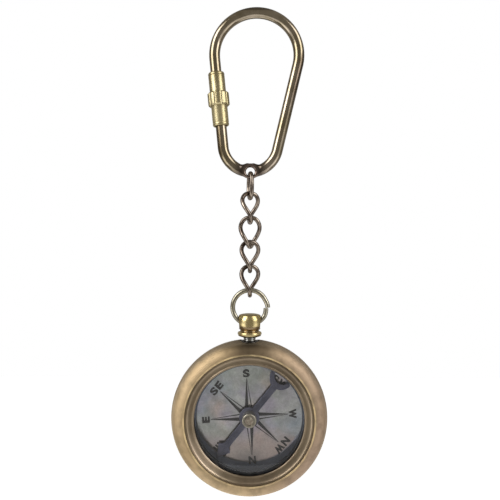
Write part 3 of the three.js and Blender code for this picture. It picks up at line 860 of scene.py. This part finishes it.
# %% Crown
CROWN_PLACE = Vector((0, 0, -77.9859)) * MM
CROWN, BULGE, CROWN_TOP, DOME, SHOULDER = 3.0, 3.22, 2.415, 0.5, 2.75
CROWN_FOOT, FOOT_RADIUS, FOOT_RISE, FOOT_EDGE = -3.72, 1.57, 0.45, 2.88
LOWER_LIP, LOWER_LIP_ROUND = (2.53, -2.67), 0.55
CROWN_GROOVE = [(2.4, -2.07), (2.36, -1.86)]
BARREL, BARREL_HALF = (2.0, 0.22), 2.1
crown_outline = (
    [(0, CROWN_FOOT), (FOOT_RADIUS, CROWN_FOOT), (FOOT_EDGE, CROWN_FOOT + FOOT_RISE)]
    + arc(LOWER_LIP, LOWER_LIP_ROUND, -40, 40, 8)
    + CROWN_GROOVE
    + arc(BARREL, (BULGE - BARREL[0], BARREL_HALF), -72, 45, 24)
    + arc((0, CROWN_TOP - DOME), (SHOULDER, DOME), 6, 90, 20)
)
crown = turned("crown_knob", crown_outline, sides=128, edge=0.07)
print("crown:", round(CROWN_TOP - CROWN_FOOT, 2), "mm high")

# %% Trumpet hole
THROAT, SILL, MOUTH = 1.07, 1.45, 1.895
HOLE_REACH, HOLE_RIM = CROWN + 1, MOUTH + 0.2  # the cutter stands out past the crown
SILL_BLOCK = 10  # a block off the cutter leaves the hole a flat sill
STATIONS = 12
stations = [BULGE * (i / STATIONS - 1) for i in range(2 * STATIONS + 1)]
cross_hole = turned(
    "crown_cutter",
    [(0, -HOLE_REACH), (HOLE_RIM, -HOLE_REACH)]
    + [(THROAT + (MOUTH - THROAT) * (x / CROWN) ** 2, x) for x in stations]
    + [(HOLE_RIM, HOLE_REACH), (0, HOLE_REACH)],
    sides=72,
)
settle(cross_hole, Matrix.Rotation(QUARTER_TURN, 4, "Y"))
start_afresh()
bpy.ops.mesh.primitive_cube_add(
    size=SILL_BLOCK * MM, location=(0, 0, -(SILL + SILL_BLOCK / 2) * MM)
)
carve(cross_hole, bpy.context.object)
carve(crown, cross_hole)
settle(crown, Matrix.Translation(CROWN_PLACE))
# Painted shade: the underside of the barrel above the groove and the crown's underside are darkened.
crown_groove_shade = CROWN_PLACE + Vector((0, 0, -1.4)) * MM
crown_underside_shade = CROWN_PLACE + Vector((0, 0, -3.45)) * MM
crown_brass = rubbed_metal(
    "crown_yellow",
    film=(0.51, 0.405, 0.19),
    bare=(0.76, 0.62, 0.33),
    shine=(0.22, 0.3),
    bump=0.03,
    axis=(CROWN_PLACE, (0, 0, 1)),
    spots=[
        dict(place=crown_groove_shade, near=0.5, far=0.85, tint=(0.42, 0.375, 0.42), level=True),
        dict(place=crown_underside_shade, near=0.2, far=0.6, tint=0.25, level=True),
    ],
)
dress(crown, crown_brass, "compass", "crown", crease=40)

# %% Neck
CASE_PLACE = Vector((0, 0, -102.1559)) * MM
SPIGOT, SPIGOT_FOOT, SPIGOT_TOP = 1.05, 16.7, 21.75
STUD, STUD_FOOT, STUD_TOP, STUD_LINE, STUD_LINE_DEPTH = 1.57, 19.7, 20.4, 20.05, 0.15
WASHER, WASHER_BORE, WASHER_FOOT, WASHER_TOP = 2.5, 1.15, 19.3, 19.65
WASHER_SLOPE, WASHER_EDGE = 0.2, 19.5
neck = turned(
    "neck_stud_steel",
    [(0, SPIGOT_FOOT), (SPIGOT, SPIGOT_FOOT), (SPIGOT, STUD_FOOT), (STUD, STUD_FOOT)]
    + [(STUD, STUD_LINE - STUD_LINE_DEPTH), (STUD - STUD_LINE_DEPTH, STUD_LINE)]
    + [(STUD, STUD_LINE + STUD_LINE_DEPTH), (STUD, STUD_TOP)]
    + [(SPIGOT, STUD_TOP), (SPIGOT, SPIGOT_TOP), (0, SPIGOT_TOP)],
    sides=64,
    edge=0.04,
)
washer = turned(
    "neck_washer_dark",
    [(WASHER_BORE, WASHER_FOOT), (WASHER, WASHER_FOOT), (WASHER, WASHER_EDGE)]
    + [(WASHER - WASHER_SLOPE, WASHER_TOP), (WASHER_BORE, WASHER_TOP)],
    sides=64,
    edge=0.04,
    ring=True,
)
bright_steel = rubbed_metal(
    "bright_steel",
    film=(0.42, 0.42, 0.40),
    bare=(0.66, 0.66, 0.63),
    shine=(0.14, 0.3),
    axis=(CASE_PLACE, (0, 0, 1)),
)
# The washer's finish is near black.
dark_washer_finish = rubbed_metal(
    "dark_washer_metal",
    film=(0.045, 0.04, 0.036),
    bare=(0.12, 0.105, 0.09),
    shine=(0.3, 0.4),
    patch=500,
    grain=1200,
    bump=0.02,
)
for piece, finish, slot, node in (
    (neck, bright_steel, "stud_steel", "neck_stud"),
    (washer, dark_washer_finish, "ring_metal", "neck_washer"),
):
    settle(piece, Matrix.Translation(CASE_PLACE))
    dress(piece, finish, "compass", node)

# %% [markdown]
# ## The case
# The case is a thick turned ring with a closed back: the widest line runs round its middle, and
# from there it rolls over to a sharp rim round the bezel. Its outline is traced from the back to
# the rim and on through the seats inside. The heights are measured from the back, and the whole
# is stood on edge with its face towards the camera. A flat is milled at the top for the washer.
# Its brass is golden and blotchy and bright along the worn rim. Painted shade makes it darker and
# rosier to the right and dark round the neck, and a painted reflection makes the outer edge pale.

# %% Case shell
CASE, BELT, BACK_ROUND, RIM_HEIGHT, RIM = 20.0, 5.8, 6.5, 9.90, 16.45
STAND = Matrix.Translation(CASE_PLACE + Vector((0, BELT, 0)) * MM) @ Matrix.Rotation(
    QUARTER_TURN, 4, "X"
)
BEZEL_SEAT, DIAL_SEAT, WELL = (16.3, 7.95), (15.1, 4.5), (12.6, 1.3)


def plug(name, radius, low, high, sides=64):
    """A plain round cutter."""
    return turned(name, [(0, low), (radius, low), (radius, high), (0, high)], sides)


case_outline = (
    [(0, 0)]
    + arc((CASE - BACK_ROUND, BELT), (BACK_ROUND, BELT), 270, 360, 28)
    + arc((RIM, BELT), (CASE - RIM, RIM_HEIGHT - BELT), 0, 90, 28)[1:]
    + [(BEZEL_SEAT[0], RIM_HEIGHT), BEZEL_SEAT, (DIAL_SEAT[0], BEZEL_SEAT[1]), DIAL_SEAT]
    + [(WELL[0], DIAL_SEAT[1]), WELL, (0, WELL[1])]
)
case = turned("case_shell", case_outline, sides=220, edge=0.05)
settle(case, STAND)
seat = plug("seat_cutter", radius=2.6, low=19.25, high=21)
socket = plug("socket_cutter", radius=1.15, low=16.65, high=20, sides=48)
for cutter in (seat, socket):
    settle(cutter, Matrix.Translation(CASE_PLACE))
carve(case, seat, socket)
print("case:", 2 * CASE, "mm across")

# %% Golden brass
FACING = (0, 1, 0)
TURNED_LINES = 5200
DARK_GOLD, LIGHT_GOLD = (0.53, 0.395, 0.23), (0.66, 0.505, 0.31)
ROSE_GOLD, RIGHT_SHADE_GOLD = (0.57, 0.415, 0.295), (0.49, 0.365, 0.275)
WORN_GOLD, REFLECTED_PALE_GOLD = (0.90, 0.72, 0.42), (0.84, 0.69, 0.49)
case_brass, tree, shader = new_finish("case_golden")
coordinates, radius, height, lines = round_axis(tree, CASE_PLACE, FACING)
cloud = noise(tree, coordinates, scale=70, detail=4)
golden = mixed(tree, ramp(tree, cloud, (0.36, 0.0), (0.66, 1.0)), DARK_GOLD, LIGHT_GOLD)
blush = noise(tree, coordinates, scale=42, detail=2, roughness=0.5)
golden = mixed(tree, ramp(tree, blush, (0.5, 0.0), (0.72, 0.75)), golden, ROSE_GOLD)
# Painted shade: the right side is mixed towards a darker, rosier gold.
rightwards = add_node(tree, "ShaderNodeSeparateXYZ", {0: coordinates}).outputs["X"]
right_shade = between(tree, rightwards, start=-4 * MM, end=16 * MM, most=0.7)
golden = mixed(tree, right_shade, golden, RIGHT_SHADE_GOLD)
fine = noise(tree, lines, TURNED_LINES, roughness=0.6)
golden = tinted(tree, golden, ramp(tree, fine, (0.25, 0.88), (0.7, 1.0)))
stains = noise(tree, coordinates, scale=330, detail=4, roughness=0.6)
golden = tinted(tree, golden, ramp(tree, stains, (0.34, 0.74), (0.56, 1.0)))
print("case colours:", len(tree.nodes), "nodes so far")

# %% Wear of the case, painted shade and a painted reflection
case_top = CASE_PLACE + Vector((0, 0, CASE)) * MM
# Painted shade round the neck, darkest next to the washer.
for near, far, tint in ((3, 10, 0.19), (2.4, 4.4, 0.4)):
    golden = film_or_painted_light(tree, coordinates, golden, case_top, near, far, tint)
rim_line, worn_start, worn_full = BELT - RIM_HEIGHT, 0.022, 0.004
worn = between(tree, height, (rim_line + worn_start) * MM, (rim_line + worn_full) * MM, most=1.0)
broken = ramp(tree, noise(tree, coordinates, scale=260), (0.42, 0.35), (0.58, 1.0))
golden = mixed(tree, maths(tree, "MULTIPLY", worn, broken), golden, WORN_GOLD)
# Painted reflection: the outer edge is pale and less metallic, as if it reflected the white room.
pale_reflection = between(tree, radius, start=18.7 * MM, end=19.9 * MM, most=0.45)
golden = mixed(tree, pale_reflection, golden, REFLECTED_PALE_GOLD)
tree.links.new(golden, shader.inputs["Base Color"])
tree.links.new(maths(tree, "SUBTRACT", 1.0, pale_reflection), shader.inputs["Metallic"])
roughen(tree, shader, fine, low=0.54, high=0.66, bump=0.1)
dress(case, case_brass, "compass", "case_body", crease=40)

# %% [markdown]
# ## Bezel and glass
# The bezel screws into the case and holds the glass: a flat land outside, a hollow cove that
# runs down to the middle, and a rounded lip over the glass. The cove is browner than the case,
# because rubbing hands don't reach it, and has a painted highlight at the lower left. The glass is
# a dome of nearly even thickness with a flat rim.

# %% Bezel
BEZEL, BEZEL_TOP, BEZEL_FOOT, BEZEL_BORE = 16.2, 9.70, 8.0, 15.1
LAND, COVE, COVE_DEPTH = 0.35, 14.46, 0.54
LIP, LIP_ROUND, LIP_MIDDLE, BORE_TOP = 13.9, 0.28, 9.08, 8.8
bezel_outline = (
    [(BEZEL_BORE, BEZEL_FOOT), (BEZEL, BEZEL_FOOT), (BEZEL, BEZEL_TOP)]
    + arc((COVE, BEZEL_TOP), (BEZEL - LAND - COVE, COVE_DEPTH), 360, 270, 16)
    + arc((LIP + LIP_ROUND, LIP_MIDDLE), LIP_ROUND, 45, 270, 14)
    + [(BEZEL_BORE, BORE_TOP)]
)
bezel = turned("bezel_cove", bezel_outline, sides=220, edge=0.04, ring=True)
settle(bezel, STAND)
# Painted highlight: the cove is made brighter at the lower left.
cove_highlight = CASE_PLACE + Vector((-12.4, -3.6, -9.6)) * MM
bezel_brass = rubbed_metal(
    "bezel_brown",
    film=(0.25, 0.195, 0.135),
    bare=(0.39, 0.31, 0.215),
    shine=(0.36, 0.48),
    patch=90,
    grain=TURNED_LINES,
    axis=(CASE_PLACE, FACING),
    spots=[dict(place=cove_highlight, near=2, far=8, tint=(2.3, 2.35, 2.5))],
)
dress(bezel, bezel_brass, "compass", "bezel", crease=40)

# %% Glass
GLASS, GLASS_FOOT, GLASS_EDGE = 15.0, 7.55, 8.75
HOLLOW, HOLLOW_TOP, DOME_EDGE, DOME_TOP = 12.8, 9.6, 13.4, 10.5


def dome(radius, edge, middle, steps=30):
    """A shallow spherical dome, from its edge to its middle."""
    rise = middle - edge
    sphere = (radius**2 + rise**2) / (2 * rise)
    start = math.degrees(math.acos(radius / sphere))
    return arc((0, middle - sphere), sphere, start, 90, steps)


glass_outline = (
    dome(HOLLOW, GLASS_FOOT, HOLLOW_TOP)[::-1]
    + [(GLASS, GLASS_FOOT), (GLASS, GLASS_EDGE)]
    + dome(DOME_EDGE, GLASS_EDGE, DOME_TOP)
)
glass = turned("domed_glass", glass_outline, sides=160, edge=0.05)
settle(glass, STAND)
clear_glass, tree, shader = new_finish("clear_glass")
haze = noise(tree, own_coordinates(tree), scale=120, detail=2)
tint = mixed(tree, haze, (0.93, 0.94, 0.93), (0.97, 0.97, 0.965))
tree.links.new(tint, shader.inputs["Base Color"])
shader.inputs["Transmission Weight"].default_value = 1.0
shader.inputs["IOR"].default_value = 1.46
shader.inputs["Roughness"].default_value = 0.0
glass.visible_shadow = glass.visible_diffuse = glass.visible_glossy = False
dress(glass, clear_glass, "compass", "glass", crease=30)

# %% [markdown]
# ## Dial, print and spacer
# The dial is a thin silvered plate that has gone blotchy with age, bluish in places and pink in
# others. On it are a rose of eight split points and the eight compass letters. The print is
# made as geometry, a few hundredths of a millimetre proud, because a drawn shape stays sharp at
# any distance. The letters are text turned into a mesh. The dial is turned with south at the top.

# %% Dial plate
DIAL_FOOT, DIAL_TOP, DIAL_RADIUS, DIAL_HOLE = 4.55, 5.15, 15.0, 1.4
plate = turned(
    "dial_silver",
    [(DIAL_HOLE, DIAL_FOOT), (DIAL_RADIUS, DIAL_FOOT)]
    + [(DIAL_RADIUS, DIAL_TOP), (DIAL_HOLE, DIAL_TOP)],
    sides=160,
    edge=0.05,
    ring=True,
)
settle(plate, STAND)
print("dial:", 2 * DIAL_RADIUS, "mm across")

# %% Blotchy silver
dial_silver, tree, shader = new_finish("aged_silver")
coordinates = own_coordinates(tree)
cloud = noise(tree, coordinates, scale=110, detail=4, roughness=0.6)
cloud = ramp(tree, cloud, (0.35, 0.0), (0.65, 1.0))
silver = mixed(tree, cloud, (0.24, 0.245, 0.24), (0.36, 0.36, 0.35))
for size, shift, tone, most in (
    (75, 0.11, (0.22, 0.26, 0.31), 0.7),
    (90, 0.37, (0.40, 0.29, 0.26), 0.75),
    (130, 0.73, (0.28, 0.24, 0.31), 0.6),
    (120, 0.91, (0.27, 0.31, 0.25), 0.45),
):
    inputs = {"Vector": coordinates, "Location": (shift, 2 * shift, 0.0)}
    moved = add_node(tree, "ShaderNodeMapping", inputs).outputs[0]
    share = ramp(tree, noise(tree, moved, size), (0.48, 0.0), (0.66, most))
    silver = mixed(tree, share, silver, tone)
spots = noise(tree, coordinates, scale=420, detail=4, roughness=0.6)
silver = tinted(tree, silver, ramp(tree, spots, (0.36, 0.78), (0.62, 1.05)))
print("blotches:", len(tree.nodes), "nodes so far")

# %% Lower edge of the dial, with painted shade
PINK, SHADE_BLUE = (0.265, 0.22, 0.20), (0.38, 0.41, 0.52)
level = add_node(tree, "ShaderNodeSeparateXYZ", {0: coordinates}).outputs["Z"]
middle = CASE_PLACE.z
low = between(tree, level, start=middle - 2 * MM, end=middle - 9 * MM, most=0.8)
silver = mixed(tree, low, silver, PINK)
# Painted shade colour: where the bezel's shadow falls, the dial is tinted a lighter blue.
shadow_centre = CASE_PLACE + Vector((0, 0, 2.5)) * MM
off_centre = vectors(tree, "DISTANCE", coordinates, shadow_centre)
crescent = between(tree, off_centre, start=13.9 * MM, end=14.6 * MM, most=0.95)
silver = mixed(tree, crescent, silver, SHADE_BLUE)
# Painted shade: the bottom of the shadow crescent is darkened further.
shadow_bottom = CASE_PLACE + Vector((0, 0, -13.2)) * MM
dim = (0.55, 0.58, 0.62)
silver = film_or_painted_light(tree, coordinates, silver, shadow_bottom, near=1.5, far=7, tint=dim)
grit = noise(tree, coordinates, scale=2400)
silver = tinted(tree, silver, ramp(tree, grit, (0.3, 0.86), (0.62, 1.04)))
tree.links.new(silver, shader.inputs["Base Color"])
shader.inputs["Metallic"].default_value = 0.25
roughen(tree, shader, grit, low=0.42, high=0.62, bump=0.1, depth=0.02)
dress(plate, dial_silver, "compass", "dial_plate")

# %% Spacer
SPACER, SPACER_BORE, SPACER_FOOT, SPACER_TOP, SPACER_SLOPE = 15.0, 13.45, 5.2, 7.5, 0.3


def speckled(name, scale, detail, tones, shine):
    """Paint, ink or stone: one fine noise sets both its colour and its roughness."""
    finish, tree, shader = new_finish(name)
    specks = noise(tree, own_coordinates(tree), scale, detail)
    tree.links.new(ramp(tree, specks, *tones), shader.inputs["Base Color"])
    tree.links.new(ramp(tree, specks, *shine), shader.inputs["Roughness"])
    return finish, shader


spacer = turned(
    "spacer_black",
    [(SPACER_BORE, SPACER_FOOT), (SPACER, SPACER_FOOT), (SPACER, SPACER_TOP)]
    + [(SPACER_BORE + SPACER_SLOPE, SPACER_TOP), (SPACER_BORE, SPACER_TOP - SPACER_SLOPE)],
    sides=160,
    edge=0.05,
    ring=True,
)
settle(spacer, STAND)
black_paint, shader = speckled(
    "black_paint",
    scale=900,
    detail=4,
    tones=[(0.3, (0.03, 0.035, 0.046)), (0.7, (0.075, 0.084, 0.104))],
    shine=[(0.3, 0.5), (0.7, 0.7)],
)
shader.inputs["Specular IOR Level"].default_value = 0.12
shader.inputs["Specular Tint"].default_value = (0.7, 0.85, 1.0, 1)
dress(spacer, black_paint, "compass", "spacer_ring")

# %% Printed rose
DIAL_TURN, POINTS = math.radians(4.3), 8
POINT_STEP = 2 * math.pi / POINTS
PRINT_FOOT, PRINT_TOP = DIAL_TOP - 0.01, DIAL_TOP + 0.025  # sunk a little, and proud
ROSE_TIP, ROSE_BASE, ROSE_LEFT, ROSE_RIGHT, ROSE_LINE = 10.0, 2.2, 0.98, 0.92, 0.3
THICK_TIP = [(0.03, ROSE_TIP), (-0.07, ROSE_TIP)]
THIN_TIP = [(0.14, ROSE_TIP - 0.2), (0.06, ROSE_TIP - 0.05)]
THICK = THICK_TIP + [(-ROSE_LEFT, ROSE_BASE), (0, ROSE_BASE)]
THIN = THIN_TIP + [(ROSE_RIGHT - ROSE_LINE, ROSE_BASE), (ROSE_RIGHT, ROSE_BASE)]
ink, _ = speckled(
    "dial_ink",
    scale=3000,
    detail=3,
    tones=[(0.35, (0.010, 0.010, 0.011)), (0.7, (0.028, 0.027, 0.028))],
    shine=[(0.3, 0.4), (0.7, 0.6)],
)


def cut_sheet(name, corners, low, high):
    """A flat shape between two heights, from a circle with as many corners as its outline."""
    start_afresh()
    bpy.ops.mesh.primitive_circle_add(vertices=len(corners), radius=MM, fill_type="NGON")
    shape = newest(name)
    for vertex, (x, y) in zip(shape.data.vertices, corners):
        vertex.co = Vector((x, y, low)) * MM
    open_mesh(shape)
    bpy.ops.mesh.extrude_region_move(TRANSFORM_OT_translate={"value": (0, 0, (high - low) * MM)})
    face_outwards()
    close_mesh()
    return shape


def gathered(name, pieces):
    """Joins several prints into one piece."""
    start_afresh()
    for piece in pieces:
        piece.select_set(True)
    bpy.context.view_layer.objects.active = pieces[0]
    bpy.ops.object.join()
    return newest(name)


half_points = []
for i in range(POINTS):
    spin = Matrix.Rotation(DIAL_TURN + i * POINT_STEP, 2)
    for kind, corners in (("thick", THICK), ("thin", THIN)):
        placed = [tuple(spin @ Vector(c)) for c in corners]
        half_points.append(cut_sheet(f"rose_{kind}_{i}", placed, PRINT_FOOT, PRINT_TOP))
rose = gathered("dial_rose", half_points)
settle(rose, STAND)
dress(rose, ink, "compass")

# %% Compass letters
LETTER_RADIUS, LETTER_HEIGHT, LETTER_GAP = 11.15, 1.95, 0.28
TYPE_SIZE = 3
LETTER_WIDTHS = {"S": 0.9, "E": 0.84, "N": 0.98, "W": 1.26}  # as shares of the height
LETTER_WEIGHTS = {"S": 0.16, "E": 0.16, "N": 0.16, "W": 0.22}
LETTERS = ("S", "SE", "E", "NE", "N", "NW", "W", "SW")
OUTER_SHIFT = {"SW": 0.55}  # this pair stands a little further out


def printed_letter(letter, left, middle, width):
    """One letter of text, made a mesh and fitted into its box on the dial."""
    start_afresh()
    bpy.ops.object.text_add()
    text = bpy.context.object
    text.data.body = letter
    text.data.size = TYPE_SIZE * MM
    text.data.offset = LETTER_WEIGHTS[letter] * MM
    text.data.extrude = MM
    bpy.ops.object.convert(target="MESH")
    corners = [tuple(c) for c in text.bound_box]
    low = [min(c[k] for c in corners) for k in range(3)]
    high = [max(c[k] for c in corners) for k in range(3)]
    start = (left, middle - LETTER_HEIGHT / 2, PRINT_FOOT)
    size = (width, LETTER_HEIGHT, PRINT_TOP - PRINT_FOOT)
    for vertex in text.data.vertices:
        share = [(vertex.co[k] - low[k]) / (high[k] - low[k]) for k in range(3)]
        vertex.co = MM * Vector([start[k] + share[k] * size[k] for k in range(3)])
    return text


words = []
for i, word in enumerate(LETTERS):
    widths = [LETTER_WIDTHS[letter] * LETTER_HEIGHT for letter in word]
    left = -(sum(widths) + LETTER_GAP * (len(word) - 1)) / 2
    middle = LETTER_RADIUS + OUTER_SHIFT.get(word, 0)
    for letter, width in zip(word, widths):
        text = printed_letter(letter, left, middle, width)
        settle(text, Matrix.Rotation(DIAL_TURN + i * POINT_STEP, 4, "Z"))
        words.append(text)
        left += width + LETTER_GAP
letters = gathered("dial_letters", words)
settle(letters, STAND)
dress(letters, ink, "compass")

# %% [markdown]
# ## Pivot and needle
# A steel pin stands in a brass bush at the middle of the dial. The needle is cut from thin steel
# and blued: an arrow at one end, a crescent at the other, round a wide hub. A brass cap with a
# brown stone in it carries the needle on the point of the pin.

# %% Bush and pin
PIVOT_FOOT = 4.2
BUSH, BUSH_BORE, FLANGE, FLANGE_TOP = 1.3, 0.6, 1.9, 4.5
PIN, PIN_FOOT, PIN_TIP, PIN_TAPER = 0.45, 0.55, 8.53, 1.6
bush = turned(
    "bush_brass",
    [(BUSH_BORE, PIVOT_FOOT), (FLANGE, PIVOT_FOOT), (FLANGE, FLANGE_TOP)]
    + [(BUSH, FLANGE_TOP), (BUSH, DIAL_TOP), (BUSH_BORE, DIAL_TOP)],
    sides=48,
    edge=0.03,
    ring=True,
)
pin = turned(
    "pin_steel",
    [(0, PIVOT_FOOT), (PIN_FOOT, PIVOT_FOOT), (PIN_FOOT, DIAL_TOP)]
    + [(PIN, DIAL_TOP), (PIN, PIN_TIP - PIN_TAPER), (0, PIN_TIP)],
    sides=48,
    edge=0.03,
)
for piece, finish, slot, node in (
    (bush, crown_brass, "crown_brass", "pivot_bush"),
    (pin, bright_steel, "stud_steel", "pivot_pin"),
):
    settle(piece, STAND)
    dress(piece, finish, "compass", node)

# %% Needle outline
NEEDLE_LOW, NEEDLE_HIGH, REACH, NEEDLE_HALF = 5.75, 6.05, 13.2, 0.825
HUB, CRESCENT, BITE = 2.6, 2.95, 2.25
CRESCENT_AT, BITE_AT = 12.85, 13.7
ARROW_START, BARB, ARROW_HALF = 9.2, 0.87, 1.9
hub_side = math.degrees(math.asin(NEEDLE_HALF / HUB))
crescent_side = math.degrees(math.asin(NEEDLE_HALF / CRESCENT))


def end_angle(centre, radius):
    """Where the sweep of the needle's tips crosses a circle, as an angle round that circle."""
    height = (REACH**2 + centre**2 - radius**2) / (2 * centre)
    return math.degrees(math.atan2(height - centre, math.sqrt(REACH**2 - height**2)))


horn, bite = end_angle(CRESCENT_AT, CRESCENT), end_angle(BITE_AT, BITE)
right_edge = arc((0, 0), HUB, -90 + hub_side, 90 - hub_side, 28)
right_edge += arc((0, CRESCENT_AT), CRESCENT, -90 + crescent_side, horn, 24)
needle_outline = (
    right_edge
    + arc((0, BITE_AT), BITE, bite, -180 - bite, 28)
    + [(-x, y) for x, y in reversed(right_edge)]
    + [(-NEEDLE_HALF, -ARROW_START), (-ARROW_HALF, -ARROW_START - BARB), (0, -REACH)]
    + [(ARROW_HALF, -ARROW_START - BARB), (NEEDLE_HALF, -ARROW_START)]
)
print("needle outline:", len(needle_outline), "points")

# %% Needle
NEEDLE_ANGLE, NEEDLE_ROUND = math.radians(39), 0.06
NEEDLE_STAND = STAND @ Matrix.Rotation(-NEEDLE_ANGLE, 4, "Z")
needle = cut_sheet("needle_blued", needle_outline, NEEDLE_LOW, NEEDLE_HIGH)
open_mesh(needle)
soften(NEEDLE_ROUND, angle=60)
close_mesh()
carve(needle, plug("hub_cutter", radius=1.35, low=5, high=7))
settle(needle, NEEDLE_STAND)
blued_steel = rubbed_metal(
    "blued_steel",
    film=(0.12, 0.126, 0.18),
    bare=(0.205, 0.21, 0.29),
    shine=(0.34, 0.46),
    patch=300,
    bump=0.03,
)
dress(needle, blued_steel, "compass_needle", "needle")

# %% Cap and stone
CAP, CAP_BORE, CAP_FOOT, CAP_TOP, CAP_ROUND = 1.8, 0.85, 5.5, 9.25, 0.3
SKIRT, SKIRT_TOP, SOCKET, SOCKET_FLOOR = 1.25, 6.1, 1.2, 8.15
STONE, STONE_FOOT, STONE_TOP, STONE_ROUND = 1.1, 8.2, 9.1, (0.3, 0.2)
CUP, CUP_TOP = 0.45, 8.65  # the hollow that runs on the pin's point
CAP_EDGE, STONE_EDGE = CAP_TOP - CAP_ROUND, STONE_TOP - STONE_ROUND[1]
cap = turned(
    "cap_brass",
    [(CAP_BORE, CAP_FOOT), (SKIRT, CAP_FOOT), (SKIRT, SKIRT_TOP), (CAP, SKIRT_TOP), (CAP, CAP_EDGE)]
    + arc((CAP - CAP_ROUND, CAP_EDGE), CAP_ROUND, 0, 90, 6)
    + [(SOCKET, CAP_TOP), (SOCKET, SOCKET_FLOOR), (CAP_BORE, SOCKET_FLOOR)],
    sides=72,
    edge=0.04,
    ring=True,
)
jewel = turned(
    "cap_stone",
    [(0, CUP_TOP), (CUP, STONE_FOOT), (STONE, STONE_FOOT), (STONE, STONE_EDGE)]
    + arc((STONE - STONE_ROUND[0], STONE_EDGE), STONE_ROUND, 0, 90, 6)
    + [(0, STONE_TOP)],
    sides=64,
    edge=0.03,
)
cap_brass = rubbed_metal(
    "cap_brass",
    film=(0.32, 0.29, 0.23),
    bare=(0.48, 0.44, 0.36),
    shine=(0.28, 0.4),
    axis=(CASE_PLACE, FACING),
)
stone, shader = speckled(
    "brown_stone",
    scale=900,
    detail=4,
    tones=[
        (0.36, (0.075, 0.05, 0.035)),
        (0.5, (0.17, 0.135, 0.10)),
        (0.64, (0.34, 0.31, 0.25)),
    ],
    shine=[(0.3, 0.12), (0.7, 0.3)],
)
shader.inputs["Coat Weight"].default_value = 0.6
for piece, finish, slot, node in (
    (cap, cap_brass, "cap_brass", "needle_cap"),
    (jewel, stone, "jewel", "cap_jewel"),
):
    settle(piece, NEEDLE_STAND)
    piece.visible_shadow = False
    dress(piece, finish, "compass_needle", node)
